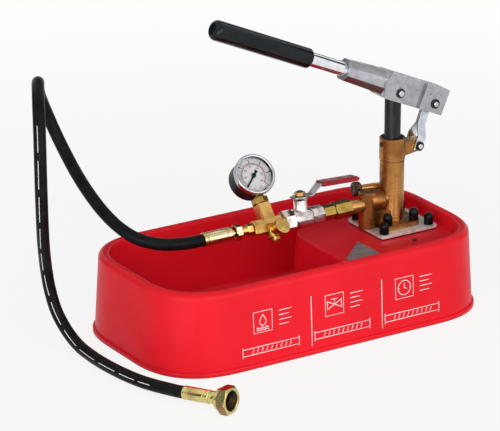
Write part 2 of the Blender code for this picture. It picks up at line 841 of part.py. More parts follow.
def make_valve_balls(finishes, axis, chamber_at):
    """The two check balls on their seats."""
    seat = bore_floor - ball_pocket_depth + seat_gap
    turned("suction_ball", sphere_outline(suction_ball_radius, seat + suction_ball_radius),
           finishes["bright_steel"], axis, small_sides)
    seat = chamber_bore_bottom + seat_gap
    turned("delivery_ball", sphere_outline(delivery_ball_radius, seat + delivery_ball_radius),
           finishes["bright_steel"], chamber_at, small_sides)


def make_plug(finishes, chamber_at):
    """The slotted screw plug that closes the valve chamber."""
    high = chamber_top - plug_sunk
    radius = chamber_bore_radius - seat_gap
    plug = turned("chamber_plug", [(0, high - plug_depth), (radius, high - plug_depth),
                                   (radius, high), (0, high)], finishes["bronze"], chamber_at,
                  small_sides)
    slot = prism("plug_slot_shape", box_outline(chamber_bore_radius * 2, plug_slot_half_width),
                 high - plug_slot_depth, high + cut_overrun, None, chamber_at)
    combine(plug, slot, "DIFFERENCE")


def make_check_knob(finishes, neck_at):
    """The ribbed knob with its spindle, on the axis that it turns about."""
    at = frame("check_knob_at", (0, 0, side_neck_length + run_gap), parent=neck_at)
    rim = check_knob_radius - check_knob_edge
    turned("check_knob", [(0, -check_spindle_length), (check_spindle_radius, -check_spindle_length),
                          (check_spindle_radius, 0), (rim, 0), (check_knob_radius, check_knob_edge),
                          (check_knob_radius, check_knob_length - check_knob_edge),
                          (rim, check_knob_length), (0, check_knob_length)],
           finishes["dark_steel"], at, small_sides)


def make_head(finishes):
    """Collar with the lug, its set screw, the rod's wiper and the lug pin."""
    axis = frame("head_axis", (pump_x, 0, 0))
    rim = head_radius - head_edge
    head = turned("cylinder_head", [(head_bore_radius, head_bottom), (head_radius, head_bottom),
                                    (head_radius, head_top - head_edge), (rim, head_top),
                                    (wiper_radius, head_top), (wiper_radius, head_top - wiper_depth),
                                    (head_bore_radius, head_top - wiper_depth)],
                  finishes["bronze"], axis, fine_sides)
    inner = head_bore_radius + tub_sheet / 2
    outline = [(inner, lug_root_bottom), (lug_x, lug_z - lug_radius)]
    for step in range(1, 5):
        angle = -math.pi / 2 + math.pi / 2 * step / 4
        outline.append((lug_x + lug_radius * math.cos(angle), lug_z + lug_radius * math.sin(angle)))
    outline += [(lug_x + lug_radius, lug_root_top - head_edge), (lug_x + lug_radius - head_edge,
                                                                 lug_root_top),
                (inner, lug_root_top)]
    lug = prism("lug_shape", outline, -lug_half_width, lug_half_width, None, axis, up="Y")
    combine(head, lug, "UNION")
    pin_at = frame("lug_pin_at", (pump_x + lug_x, 0, lug_z), (math.pi / 2, 0, 0))
    reach = lug_half_width + cut_overrun
    drill(head, link_pin_radius + seat_gap, -reach, reach, pin_at, small_sides)
    screw_at = frame("head_screw_at", (pump_x - head_radius, 0, head_screw_z),
                     (0, -math.pi / 2, 0))
    drill(head, head_screw_radius + seat_gap, -head_screw_length, cut_overrun, screw_at)
    start = seat_gap - head_screw_length
    turned("head_set_screw", [(0, start), (head_screw_radius, start),
                              (head_screw_radius, head_screw_proud), (0, head_screw_proud)],
           finishes["dark_steel"], screw_at, tiny_sides)
    outer = wiper_radius - seat_gap
    inner = rod_radius + run_gap
    low = head_top - wiper_depth + seat_gap
    turned("rod_wiper", [(inner, low), (outer, low), (outer, head_top - seat_gap),
                         (inner, head_top)], finishes["gasket_rubber"], axis, round_sides)
    make_pin("lug_pin", link_pin_radius, strap_inner_low + strap_thickness + run_gap, 1, finishes,
             pin_at)


def make_pin(name, radius, clip_start, ends, finishes, at):
    """A pin with its circlips; ends is 1 for a through pin, or 0 for a stud on one side."""
    tip = clip_start + clip_thickness + clip_inset
    edge = radius - clip_thickness / 2
    half = [(radius, clip_start), (clip_radius, clip_start),
            (clip_radius, clip_start + clip_thickness), (radius, clip_start + clip_thickness),
            (radius, tip - clip_thickness / 2), (edge, tip), (0, tip)]
    if ends:
        outline = [(r, -h) for r, h in reversed(half)] + half
    else:
        start = strap_inner_high + strap_thickness + seat_gap
        outline = [(0, start), (radius, start)] + half
    return turned(name, outline, finishes["bright_steel"], at, tiny_sides)


def make_rod(finishes):
    """Rod with its cross hole and the piston turned on it, and the seal."""
    at = frame("rod_slide_at", (pump_x, 0, rod_pin_z))
    bottom = piston_bottom - rod_pin_z
    top = bottom + piston_length
    radius = barrel_bore_radius - seat_gap
    groove = radius - piston_seal_groove
    seal_low = bottom + (piston_length - piston_seal_width) / 2
    seal_high = seal_low + piston_seal_width
    outline = [(0, bottom), (radius, bottom), (radius, seal_low), (groove, seal_low),
               (groove, seal_high), (radius, seal_high), (radius, top), (rod_radius, top),
               (rod_radius, rod_top_reach / 2)]
    for step in range(1, 5):
        angle = math.pi / 2 * step / 4
        outline.append((rod_radius * math.cos(angle) if step < 4 else 0,
                        rod_top_reach / 2 + rod_top_reach / 2 * math.sin(angle)))
    rod = turned("piston_rod", outline, finishes["dark_steel"], at, round_sides)
    cross = frame("rod_cross_hole_at", (0, 0, 0), (math.pi / 2, 0, 0), parent=at)
    drill(rod, pin_radius + run_gap, -rod_radius * 2, rod_radius * 2, cross, small_sides)
    gap = seat_gap / 2
    turned("piston_seal", [(groove + gap, seal_low + gap), (radius, seal_low + gap),
                           (radius, seal_high - gap), (groove + gap, seal_high - gap)],
           finishes["gasket_rubber"], at, round_sides)


def make_lever(finishes):
    """Lever head, tube, grip and pins on the frame of the lever's hinge."""
    at = frame("lever_at", (pump_x, 0, rod_pin_z), (0, lever_angle, 0))
    outline = [(cheek_right, -cheek_low), (cheek_right, cheek_high), (-cheek_front, cheek_high),
               (-cheek_nose, cheek_nose_height), (-cheek_front, -cheek_low)]
    head = prism("lever_head", outline, -cheek_half_width, cheek_half_width,
                 finishes["cast_aluminium"], at, up="Y")
    socket_at = frame("socket_at", (0, 0, socket_axis), (0, -math.pi / 2, 0), parent=at)
    combine(head, make_socket(socket_at), "UNION")
    channel = box_outline((cheek_right + cut_overrun + channel_left) / 2,
                          (channel_roof + cheek_low + cut_overrun) / 2,
                          (cheek_right + cut_overrun - channel_left) / 2,
                          (channel_roof - cheek_low - cut_overrun) / 2)
    slot = prism("channel_shape", channel, -channel_half_width, channel_half_width, None, at, up="Y")
    combine(head, slot, "DIFFERENCE")
    bore_low = socket_mouth - socket_bore_depth
    drill(head, tube_radius + seat_gap, bore_low, socket_mouth + cut_overrun, socket_at,
          round_sides)
    pin_at = frame("rod_pin_at", (0, 0, 0), (math.pi / 2, 0, 0), parent=at)
    reach = cheek_half_width + cut_overrun
    drill(head, pin_radius + seat_gap, -reach, reach, pin_at, small_sides)
    make_pin("rod_pin", pin_radius, cheek_half_width + seat_gap, 1, finishes, pin_at)
    link_at = frame("link_stud_at", (lever_arm, 0, 0), (math.pi / 2, 0, 0), parent=at)
    drill(head, link_pin_radius + seat_gap, -reach, reach, link_at, small_sides)
    far_at = frame("far_stud_at", (lever_arm, 0, 0), (-math.pi / 2, 0, 0), parent=at)
    make_pin("link_stud_near", link_pin_radius, cheek_half_width + seat_gap, 0, finishes, link_at)
    make_pin("link_stud_far", link_pin_radius, cheek_half_width + seat_gap, 0, finishes, far_at)
    start = bore_low + seat_gap
    turned("handle_tube", [(tube_bore_radius, start), (tube_radius, start), (tube_radius, tube_end),
                           (tube_bore_radius, tube_end)], finishes["chrome"], socket_at)
    inner = tube_radius + seat_gap
    round_start = grip_end - grip_round
    outline = [(0, tube_end + seat_gap), (inner, tube_end + seat_gap), (inner, grip_start),
               (grip_radius - grip_round / 4, grip_start), (grip_radius, grip_start + grip_round / 4),
               (grip_radius, round_start)]
    for step in range(1, 5):
        angle = math.pi / 2 * step / 4
        outline.append((grip_radius - grip_round + grip_round * math.cos(angle),
                        round_start + grip_round * math.sin(angle)))
    outline.append((0, grip_end))
    turned("handle_grip", outline, finishes["black_plastic"], socket_at)


def make_socket(socket_at):
    """The tapered eight sided socket, flats to the front, top and bottom."""
    shape = bmesh.new()
    rings = []
    for height, flats in ((socket_start, socket_start_flats), (socket_mouth, socket_mouth_flats)):
        corner = flats / 2 / math.cos(math.pi / 8)
        spots = [math.tau * (side + 0.5) / 8 for side in range(8)]
        rings.append([shape.verts.new((corner * math.cos(a), corner * math.sin(a), height))
                      for a in spots])
    bridge(shape, rings[0], rings[1])
    shape.faces.new(rings[0])
    shape.faces.new(rings[1])
    bmesh.ops.recalc_face_normals(shape, faces=shape.faces[:])
    return finish("socket_shape", shape, None, socket_at, smooth=False)


def make_straps(finishes):
    """Two joggled straps from the lug pin up into the lever's channel."""
    tilt = math.asin((lever_arm * math.cos(lever_angle) - lug_x) / link_length)
    at = frame("link_at", (pump_x + lug_x, 0, lug_z), (0, tilt, 0))
    low, high = strap_inner_low, strap_inner_high
    inner = [(low, -strap_end), (low, strap_joggle_start), (high, strap_joggle_end),
             (high, link_length + strap_end)]
    for name, side in (("link_strap_near", -1), ("link_strap_far", 1)):
        shape = bmesh.new()
        half = strap_width / 2
        sections = []
        for y, z in inner:
            outer = y + strap_thickness
            sections.append([shape.verts.new((x, side * across, z))
                             for x, across in ((-half, y), (half, y), (half, outer), (-half, outer))])
        for section, after in zip(sections, sections[1:]):
            bridge(shape, section, after)
        shape.faces.new(sections[0])
        shape.faces.new(sections[-1])
        bmesh.ops.recalc_face_normals(shape, faces=shape.faces[:])
        strap = finish(name, shape, finishes["bright_steel"], at, smooth=False)
        hole_at = frame(name + "_hole_at", (0, 0, 0), (math.pi / 2, 0, 0), parent=at)
        reach = low + strap_thickness + cut_overrun
        drill(strap, link_pin_radius + run_gap, -reach, reach, hole_at, small_sides)


def make_line(finishes):
    """Spigot and adapters between the pump's chamber and the ball valve."""
    axis = line_frame()
    bore = line_bore_radius
    edge = hex_chamfer
    turned("outlet_spigot", [(bore, spigot_left), (spigot_radius - edge / 2, spigot_left),
                             (spigot_radius, spigot_left + edge), (spigot_radius, spigot_right),
                             (bore, spigot_right)], finishes["bronze"], axis)
    large = hexed("adapter_large", adapter_large_left, spigot_left - seat_gap, adapter_large_flats,
                  finishes["brass"], axis)
    small = hexed("adapter_small", adapter_small_left, adapter_large_left - seat_gap,
                  adapter_small_flats, finishes["brass"], axis)
    for piece in (large, small):
        drill(piece, bore, valve_right, spigot_left + cut_overrun, axis)


def make_valve(finishes):
    """Ball valve with its end piece, stem, ball, lever, sleeve and nut."""
    nickel = finishes["nickel"]
    axis = line_frame("valve_axis")
    edge = valve_body_edge
    body = turned("valve_body", [(0, valve_left), (valve_body_radius - edge, valve_left),
                                 (valve_body_radius, valve_left + edge),
                                 (valve_body_radius, valve_right_start - edge),
                                 (valve_body_radius - edge, valve_right_start),
                                 (0, valve_right_start)], nickel, axis, round_sides)
    inside = valve_right_start - valve_body_edge
    right = hexed("valve_right_shape", inside, valve_right, valve_right_flats, None, axis, 8)
    stem_at = frame("valve_stem_at", (line_x + valve_x, 0, line_z), (-valve_lean, 0, 0))
    neck = turned("valve_neck_shape", [(0, 0), (valve_neck_radius, 0),
                                       (valve_neck_radius, valve_neck_top), (0, valve_neck_top)],
                  None, stem_at, round_sides)
    combine(body, right, "UNION")
    combine(body, neck, "UNION")
    drill(body, valve_chamber_radius, valve_left - cut_overrun, valve_chamber_end, axis, round_sides)
    drill(body, line_bore_radius, valve_chamber_end - cut_overrun, valve_right + cut_overrun, axis)
    drill(body, valve_stem_radius + run_gap, 0, valve_neck_top + cut_overrun, stem_at, small_sides)
    end = hexed("valve_end", valve_end_left, valve_left - seat_gap, valve_end_flats, nickel, axis,
                turn=math.radians(15))
    drill(end, line_bore_radius, valve_end_left - cut_overrun, valve_left + cut_overrun, axis)
    ball = turned("valve_ball", sphere_outline(valve_ball_radius, 0), finishes["chrome"], stem_at,
                  small_sides)
    ball_bore_at = frame("ball_bore_at", (0, 0, 0), (0, math.pi / 2, 0), parent=stem_at)
    drill(ball, line_bore_radius, -valve_ball_radius * 2, valve_ball_radius * 2, ball_bore_at)
    stem_low = valve_ball_radius + seat_gap
    turned("valve_stem", [(0, stem_low), (valve_stem_radius, stem_low),
                          (valve_stem_radius, valve_stem_top), (0, valve_stem_top)],
           finishes["dark_steel"], stem_at, tiny_sides)
    make_valve_lever(finishes, stem_at)


def make_valve_lever(finishes, stem_at):
    """Cranked lever plate, its red sleeve and the nut that holds it."""
    low = lever_plate_height
    thick = lever_plate_thickness
    path = [(-lever_hub_radius, low), (lever_flat_end, low),
            (lever_rise_end, low + lever_rise), (lever_length, low + lever_rise - sleeve_drop)]
    top = [(x, z + thick) for x, z in reversed(path)]
    plate = prism("valve_lever", path + top, -lever_half_width, lever_half_width,
                  finishes["cast_aluminium"], stem_at, up="Y")
    hub = turned("lever_hub_shape", [(0, low), (lever_hub_radius, low), (lever_hub_radius, low + thick),
                                     (0, low + thick)], None, stem_at, round_sides)
    combine(plate, hub, "UNION")
    drill(plate, valve_stem_radius + seat_gap, low - cut_overrun, low + cut_overrun * 2, stem_at,
          small_sides)
    drop = sleeve_drop * (sleeve_end - sleeve_start) / (lever_length - lever_rise_end)
    middle = low + lever_rise + thick / 2
    half = sleeve_thickness / 2
    side = [(sleeve_start, middle - half), (sleeve_end - half, middle - drop - half),
            (sleeve_end, middle - drop - half / 3), (sleeve_end, middle - drop + half / 3),
            (sleeve_end - half, middle - drop + half), (sleeve_start, middle + half)]
    sleeve = prism("lever_sleeve", side, -sleeve_half_width, sleeve_half_width,
                   finishes["red_sleeve"], stem_at, up="Y")
    gap = seat_gap
    core = [(x, z - gap) for x, z in path[2:]] + [(x, z + gap) for x, z in top[:2]]
    core[0] = (sleeve_start - cut_overrun, core[0][1])
    core[3] = (sleeve_start - cut_overrun, core[3][1])
    core[1] = (lever_length + gap, core[1][1])
    core[2] = (lever_length + gap, core[2][1])
    hollow = prism("sleeve_core_shape", core, -lever_half_width - gap, lever_half_width + gap, None,
                   stem_at, up="Y")
    combine(sleeve, hollow, "DIFFERENCE")
    start = low + thick + seat_gap
    nut = hexed("lever_nut", start, start + lever_nut_height, lever_nut_flats, finishes["brass"],
                stem_at)
    drill(nut, valve_stem_radius + seat_gap, start - cut_overrun, start + cut_overrun * 2, stem_at,
          small_sides)


def make_manifold(finishes):
    """Hexagon bar with the gauge post, turned back about the line, and its bores."""
    brass = finishes["brass"]
    axis = line_frame("manifold_axis")
    turn = math.pi / 3 - gauge_lean
    block = hexed("manifold_block", manifold_left, manifold_right, manifold_flats, brass, axis,
                  turn=turn)
    gauge_at = frame("gauge_at", (line_x + gauge_x, 0, line_z), (-gauge_lean, 0, 0))
    post = prism("post_shape", box_outline(post_half_width, post_half_width), 0, post_top, None,
                 gauge_at)
    combine(block, post, "UNION")
    bore = line_bore_radius
    drill(block, bore, manifold_left - cut_overrun, manifold_right + cut_overrun, axis)
    drill(block, bore, 0, post_top + cut_overrun, gauge_at)
    below_at = frame("below_at", (line_x + release_x, 0, line_z), (math.pi - gauge_lean, 0, 0))
    release_at = frame("release_at", (0, 0, 0), (0, 0, release_turn), parent=below_at)
    drill(block, bore, 0, manifold_flats, release_at)
    return gauge_at, release_at


def make_release(finishes, release_at):
    """Release valve: body, drain and the knob that opens it.

    The frame's Z axis points away from the gauge, and its Y axis to the knob.
    """
    brass = finishes["brass"]
    start = manifold_flats / 4
    spout_end = release_body_end + drain_length
    body = turned("release_bonnet", [(0, start), (release_body_radius, start),
                                     (release_body_radius, release_body_end),
                                     (drain_radius, release_body_end), (drain_radius, spout_end),
                                     (0, spout_end)], brass, release_at, round_sides)
    knob_at = frame("release_knob_at", (0, 0, release_drop), (-math.pi / 2, 0, 0),
                    parent=release_at)
    neck = turned("release_neck_shape", [(0, 0), (release_neck_radius, 0),
                                         (release_neck_radius, release_neck_end),
                                         (0, release_neck_end)], None, knob_at, round_sides)
    clear = hexed("release_clear_shape", manifold_left, manifold_right,
                  manifold_flats + seat_gap * 2, None, line_frame("release_clear_axis"),
                  turn=math.pi / 3 - gauge_lean)
    combine(body, neck, "UNION")
    combine(body, clear, "DIFFERENCE")
    depth = release_neck_end - release_spindle_depth - seat_gap
    drill(body, release_spindle_radius + seat_gap, depth, release_neck_end + cut_overrun, knob_at)
    drill(body, drain_bore_radius, release_drop, spout_end + cut_overrun, release_at)
    rim = release_knob_radius - release_knob_edge
    spindle = release_spindle_radius
    turned("release_knob", [(0, release_neck_end - release_spindle_depth),
                            (spindle, release_neck_end - release_spindle_depth),
                            (spindle, release_knob_start), (rim, release_knob_start),
                            (release_knob_radius, release_knob_start + release_knob_edge),
                            (release_knob_radius, release_knob_end - release_knob_edge),
                            (rim, release_knob_end), (0, release_knob_end)],
           brass, knob_at, round_sides)


def make_gauge(finishes, gauge_at):
    """Gauge on its post: socket, case, Bourdon tube, dial, pointer, lens and bezel."""
    stem_at = frame("gauge_stem_at", (0, 0, 0), (0, 0, gauge_turn), parent=gauge_at)
    socket = hexed("gauge_socket", post_top + seat_gap, gauge_hex_top, gauge_hex_flats,
                   finishes["brass"], stem_at)
    neck_top = gauge_reach - gauge_case_radius - seat_gap
    neck = turned("gauge_neck_shape", [(0, post_top + hex_chamfer * 2),
                                       (gauge_neck_radius, post_top + hex_chamfer * 2),
                                       (gauge_neck_radius, neck_top), (0, neck_top)], None, stem_at,
                  small_sides)
    combine(socket, neck, "UNION")
    drill(socket, line_bore_radius, post_top - cut_overrun, neck_top + cut_overrun, stem_at)
    case_at = frame("gauge_case_at", (0, 0, gauge_reach), (math.pi / 2, 0, 0), parent=stem_at)
    outer = gauge_case_radius
    inner = outer - gauge_sheet
    turned("gauge_case", [(0, -gauge_back), (outer - gauge_sheet, -gauge_back),
                          (outer, gauge_sheet - gauge_back), (outer, gauge_case_front),
                          (inner, gauge_case_front), (inner, gauge_sheet - gauge_back),
                          (0, gauge_sheet - gauge_back)], finishes["black_plastic"], case_at,
           fine_sides)
    dial_back = gauge_dial_place
    dial_front = dial_back + gauge_dial_thickness
    dial = turned("gauge_dial", [(0, dial_back), (gauge_dial_radius, dial_back),
                                 (gauge_dial_radius, dial_front), (0, dial_front)],
                  finishes["dial_white"], case_at, fine_sides)
    drill(dial, pointer_half_width + run_gap, dial_back - cut_overrun, dial_front + cut_overrun,
          case_at)
    make_pointer(finishes, case_at, dial_front)
    lens_back = gauge_lens_place
    lens_front = lens_back + gauge_lens_thickness
    lens_radius = gauge_bezel_radius - gauge_sheet - seat_gap
    turned("gauge_lens", [(0, lens_back), (lens_radius, lens_back), (lens_radius, lens_front),
                          (0, lens_front)], finishes["clear_lens"], case_at, fine_sides)
    rim = gauge_bezel_radius
    seat = rim - gauge_sheet
    front = gauge_front
    back = front - gauge_bezel_depth
    turned("gauge_bezel", [(outer + seat_gap, back), (rim, back), (rim, front - gauge_sheet / 2),
                           (rim - gauge_sheet / 2, front), (gauge_bezel_inner, front),
                           (gauge_bezel_inner, lens_front + seat_gap), (seat, lens_front + seat_gap),
                           (seat, gauge_case_front + seat_gap),
                           (outer + seat_gap, gauge_case_front + seat_gap)],
           finishes["nickel"], case_at, fine_sides)
    make_bourdon(finishes, case_at)


def make_pointer(finishes, case_at, dial_front):
    """Pointer with its hub and shaft, turning on the dial's axis."""
    at = frame("pointer_at", (0, 0, dial_front + run_gap), (0, 0, pointer_rest), parent=case_at)
    outline = [(pointer_half_width, pointer_length), (-pointer_half_width, pointer_length),
               (-pointer_half_width, -pointer_tail / 2), (-pointer_tail_half_width, -pointer_tail),
               (pointer_tail_half_width, -pointer_tail), (pointer_half_width, -pointer_tail / 2)]
    pointer = prism("gauge_pointer", outline, 0, pointer_thickness, finishes["black_plastic"], at)
    shaft = -dial_front - run_gap + gauge_dial_place - bourdon_tube_radius
    hub = turned("pointer_hub_shape", [(0, shaft), (pointer_half_width, shaft),
                                       (pointer_half_width, pointer_thickness / 2),
                                       (pointer_hub_radius, pointer_thickness / 2),
                                       (pointer_hub_radius, pointer_thickness * 3),
                                       (0, pointer_thickness * 3)], None, at, small_sides)
    combine(pointer, hub, "UNION")


def make_bourdon(finishes, case_at):
    """The C shaped pressure tube behind the dial, on its foot in the case."""
    foot = gauge_case_radius - gauge_sheet - seat_gap
    points = [(0, -foot, bourdon_place), (0, -(foot + bourdon_radius) / 2, bourdon_place)]
    for step in range(small_sides + 1):
        angle = bourdon_start + bourdon_sweep * step / small_sides
        points.append((bourdon_radius * math.cos(angle), bourdon_radius * math.sin(angle),
                       bourdon_place))
    tube = make_tube("bourdon_tube", points, bourdon_tube_radius, finishes["brass"], 2)
    tube.parent = case_at


def make_hose_fittings(finishes):
    """Nipple, swivel nut and crimped ferrule on the line's end."""
    axis = line_frame("hose_fitting_axis")
    nipple_right = manifold_left - seat_gap
    nipple = hexed("hose_nipple", nipple_left, nipple_right, nipple_flats, finishes["brass"], axis)
    thread = turned("nipple_thread_shape",
                    [(0, nipple_left - nipple_thread_reach),
                     (nipple_thread_radius, nipple_left - nipple_thread_reach),
                     (nipple_thread_radius, nipple_left + hex_chamfer * 2),
                     (0, nipple_left + hex_chamfer * 2)], None, axis, small_sides)
    combine(nipple, thread, "UNION")
    drill(nipple, line_bore_radius, nipple_left - nipple_thread_reach - cut_overrun,
          nipple_right + cut_overrun, axis)
    nut = hexed("swivel_nut", swivel_left, swivel_right, swivel_flats, finishes["plated_brass"], axis)
    seat = nipple_left - nipple_thread_reach - seat_gap
    tool = turned("swivel_bore_shape", [(0, swivel_left - cut_overrun),
                                        (tail_radius + run_gap, swivel_left - cut_overrun),
                                        (tail_radius + run_gap, seat),
                                        (nipple_thread_radius + run_gap, seat),
                                        (nipple_thread_radius + run_gap, swivel_right + cut_overrun),
                                        (0, swivel_right + cut_overrun)], None, axis, small_sides)
    combine(nut, tool, "DIFFERENCE")
    edge = ferrule_edge
    turned("hose_ferrule", [(tail_bore_radius, ferrule_left), (ferrule_radius - edge, ferrule_left),
                            (ferrule_radius, ferrule_left + edge),
                            (ferrule_radius, ferrule_right - edge),
                            (ferrule_radius - edge, ferrule_right), (tail_radius, ferrule_right),
                            (tail_radius, seat), (tail_bore_radius, seat)],
           finishes["plated_brass"], axis)


def smooth_route(points, count):
    """Points at an even pace along a smooth curve through a hand chosen route."""
    spots = [Vector(point) for point in points]
    spots = [spots[0] * 2 - spots[1]] + spots + [spots[-1] * 2 - spots[-2]]
    fine = []
    route_steps = 8
    for before, start, stop, after in zip(spots, spots[1:], spots[2:], spots[3:]):
        for step in range(route_steps):
            t = step / route_steps
            fine.append(0.5 * (2 * start + (stop - before) * t
                               + (2 * before - 5 * start + 4 * stop - after) * t * t
                               + (3 * start - before - 3 * stop + after) * t * t * t))
    fine.append(spots[-2])
    lengths = [0.0]
    for one, two in zip(fine, fine[1:]):
        lengths.append(lengths[-1] + (two - one).length)
    even = []
    spot = 0
    for step in range(count):
        target = lengths[-1] * step / (count - 1)
        while spot < len(lengths) - 2 and lengths[spot + 1] < target:
            spot += 1
        share = (target - lengths[spot]) / (lengths[spot + 1] - lengths[spot])
        even.append(fine[spot].lerp(fine[spot + 1], share))
    return even


def end_fitting_frame():
    """A frame at the middle of the end nut, Z axis out of its mouth."""
    direction = end_direction()
    rotation = direction.to_track_quat("Z", "Y").to_euler()
    return frame("end_fitting_at", end_nut_place, rotation)


def end_direction():
    """The way that the fitting on the hose's free end points."""
    level = math.cos(end_fitting_tilt)
    return Vector((level * math.cos(end_fitting_heading), level * math.sin(end_fitting_heading),
                   math.sin(end_fitting_tilt)))


def make_tube(name, points, radius, finish_material, resolution):
    """A round cord along points, with filled ends."""
    curve = bpy.data.curves.new(name, "CURVE")
    curve.dimensions = "3D"
    curve.bevel_depth = radius
    curve.bevel_resolution = resolution
    curve.use_fill_caps = True
    curve.render_resolution_u = 0
    spline = curve.splines.new("POLY")
    spline.points.add(len(points) - 1)
    for spot, point in zip(spline.points, points):
        spot.co = (*point, 1)
    curve.materials.append(finish_material)
    tube = bpy.data.objects.new(name, curve)
    bpy.context.scene.collection.objects.link(tube)
    return tube


def make_hose(finishes):
    """The hose from the ferrule on the line to the fitting on its free end."""
    start = Vector((line_x + ferrule_left - seat_gap, 0, line_z))
    stop = Vector(end_nut_place) - end_direction() * (end_ferrule_start + seat_gap)
    route = [start - Vector((hose_straight, 0, 0))]
    route += [Vector(point) for point in hose_route[1:]]
    route.append(stop - end_direction() * hose_straight)
    points = [start] + smooth_route(route, hose_point_count) + [stop]
    make_tube("hose", points, hose_radius, finishes["hose_rubber"], 3)


def make_end_fitting(finishes):
    """Crimped ferrule with its flanged tail, and the union nut that turns on it."""
    at = end_fitting_frame()
    start = -end_ferrule_start
    crimp_end = start + end_ferrule_length
    ring_start = crimp_end + end_groove_width
    ring_end = ring_start + end_ring_length
    edge = ferrule_edge
    radius = end_ferrule_radius
    collar = end_collar_radius
    nut_back = -end_nut_half_length
    flange_low = nut_back + end_nut_shoulder + run_gap
    flange_high = flange_low + end_tail_flange
    turned("hose_end_ferrule", [(tail_bore_radius, start), (radius - edge, start),
                                (radius, start + edge), (radius, crimp_end - edge / 2),
                                (end_groove_radius, crimp_end), (end_groove_radius, ring_start),
                                (end_ring_radius, ring_start), (end_ring_radius, ring_end),
                                (collar, ring_end), (collar, flange_low),
                                (end_tail_flange_radius, flange_low),
                                (end_tail_flange_radius, flange_high),
                                (tail_bore_radius, flange_high)], finishes["plated_brass"], at)
    shoulder = nut_back + end_nut_round_length
    nut = hexed("hose_end_nut", shoulder, end_nut_half_length, end_nut_flats,
                finishes["plated_brass"], at, turn=math.pi / 6)
    inside = shoulder + hex_chamfer * 2
    back = turned("end_nut_round_shape", [(0, nut_back), (end_nut_round_radius - edge, nut_back),
                                          (end_nut_round_radius, nut_back + edge),
                                          (end_nut_round_radius, inside), (0, inside)], None, at)
    combine(nut, back, "UNION")
    tool = turned("end_nut_bore_shape", [(0, nut_back - cut_overrun),
                                         (collar + run_gap, nut_back - cut_overrun),
                                         (collar + run_gap, nut_back + end_nut_shoulder),
                                         (end_nut_bore_radius, nut_back + end_nut_shoulder),
                                         (end_nut_bore_radius, end_nut_half_length + cut_overrun),
                                         (0, end_nut_half_length + cut_overrun)], None, at)
    combine(nut, tool, "DIFFERENCE")


def make_suction(finishes):
    """Suction pipe from under the deck through the tub's wall, and its strainer."""
    top = foot_bottom - seat_gap
    points = [(pump_x, 0, top), (pump_x, 0, (top + suction_height + suction_bend) / 2)]
    steps = 6
    for step in range(steps + 1):
        angle = math.pi / 2 * step / steps
        points.append((pump_x - suction_bend * (1 - math.cos(angle)), 0,
                       suction_height + suction_bend * (1 - math.sin(angle))))
    points.append((suction_end_x, 0, suction_height))
    make_tube("suction_pipe", points, suction_radius, finishes["gasket_rubber"], 2)
    inner = suction_radius + seat_gap
    strainer_at = frame("strainer_at", (suction_end_x, 0, suction_height), (0, -math.pi / 2, 0))
    wall = strainer_wall
    radius = strainer_radius
    length = strainer_length
    turned("suction_strainer", [(inner, -wall), (radius, -wall), (radius, length), (0, length),
                                (0, length - wall), (radius - wall, length - wall),
                                (radius - wall, seat_gap), (inner, seat_gap)],
           finishes["brass"], strainer_at, small_sides)


def main():
    """Model the whole pump."""
    clear_scene()
    finishes = make_materials()
    make_tub(finishes)
    make_deck_pieces(finishes)
    make_caps(finishes)
    neck_at = make_pump_body(finishes)
    make_check_knob(finishes, neck_at)
    make_head(finishes)
    make_rod(finishes)
    make_lever(finishes)
    make_straps(finishes)
    make_line(finishes)
    make_valve(finishes)
    gauge_at, release_at = make_manifold(finishes)
    make_release(finishes, release_at)
    make_gauge(finishes, gauge_at)
    make_hose_fittings(finishes)
    make_hose(finishes)
    make_end_fitting(finishes)
    make_suction(finishes)


main()
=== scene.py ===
# %% [markdown]
# # A hydrostatic test pump
# Plumbers fill a closed pipe with this pump, press the lever until the gauge shows the test
# pressure, shut the valve and wait. The hard parts were made as CAD and arrive as a fixed frame.
# Here each part gets its finish, its eased edges and its small detail.

# %% Start with the frame
import json
from math import asin, atan2, cos, hypot, pi, radians, sin, tan, tau

import bmesh
import bpy
from mathutils import Matrix, Vector

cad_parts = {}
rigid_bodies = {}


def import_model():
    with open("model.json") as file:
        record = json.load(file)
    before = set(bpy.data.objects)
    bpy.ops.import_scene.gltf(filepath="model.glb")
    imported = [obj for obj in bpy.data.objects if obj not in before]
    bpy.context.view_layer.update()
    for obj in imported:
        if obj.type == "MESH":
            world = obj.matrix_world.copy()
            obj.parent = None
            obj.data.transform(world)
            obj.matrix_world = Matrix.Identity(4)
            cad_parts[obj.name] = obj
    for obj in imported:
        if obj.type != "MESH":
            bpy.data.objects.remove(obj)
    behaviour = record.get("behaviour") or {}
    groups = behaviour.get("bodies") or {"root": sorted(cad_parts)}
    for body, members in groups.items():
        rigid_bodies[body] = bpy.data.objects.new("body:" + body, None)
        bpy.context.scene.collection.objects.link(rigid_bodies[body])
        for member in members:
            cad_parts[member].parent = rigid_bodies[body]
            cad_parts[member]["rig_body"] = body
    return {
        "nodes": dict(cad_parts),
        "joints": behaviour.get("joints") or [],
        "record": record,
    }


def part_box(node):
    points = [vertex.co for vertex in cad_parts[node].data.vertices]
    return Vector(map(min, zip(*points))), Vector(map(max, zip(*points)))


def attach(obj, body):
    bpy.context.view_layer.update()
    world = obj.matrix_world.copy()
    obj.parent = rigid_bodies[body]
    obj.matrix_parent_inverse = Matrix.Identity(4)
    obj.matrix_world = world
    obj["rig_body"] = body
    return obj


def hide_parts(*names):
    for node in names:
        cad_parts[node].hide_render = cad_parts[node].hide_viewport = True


for leftover in list(bpy.data.objects):
    bpy.data.objects.remove(leftover)
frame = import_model()
cad = frame["nodes"]
bpy.context.view_layer.update()
slots = [entry["slot"] for entry in frame["record"]["materials"]]
quarter_turn = pi / 2
print("CAD pieces:", len(cad), "finishes:", len(slots))


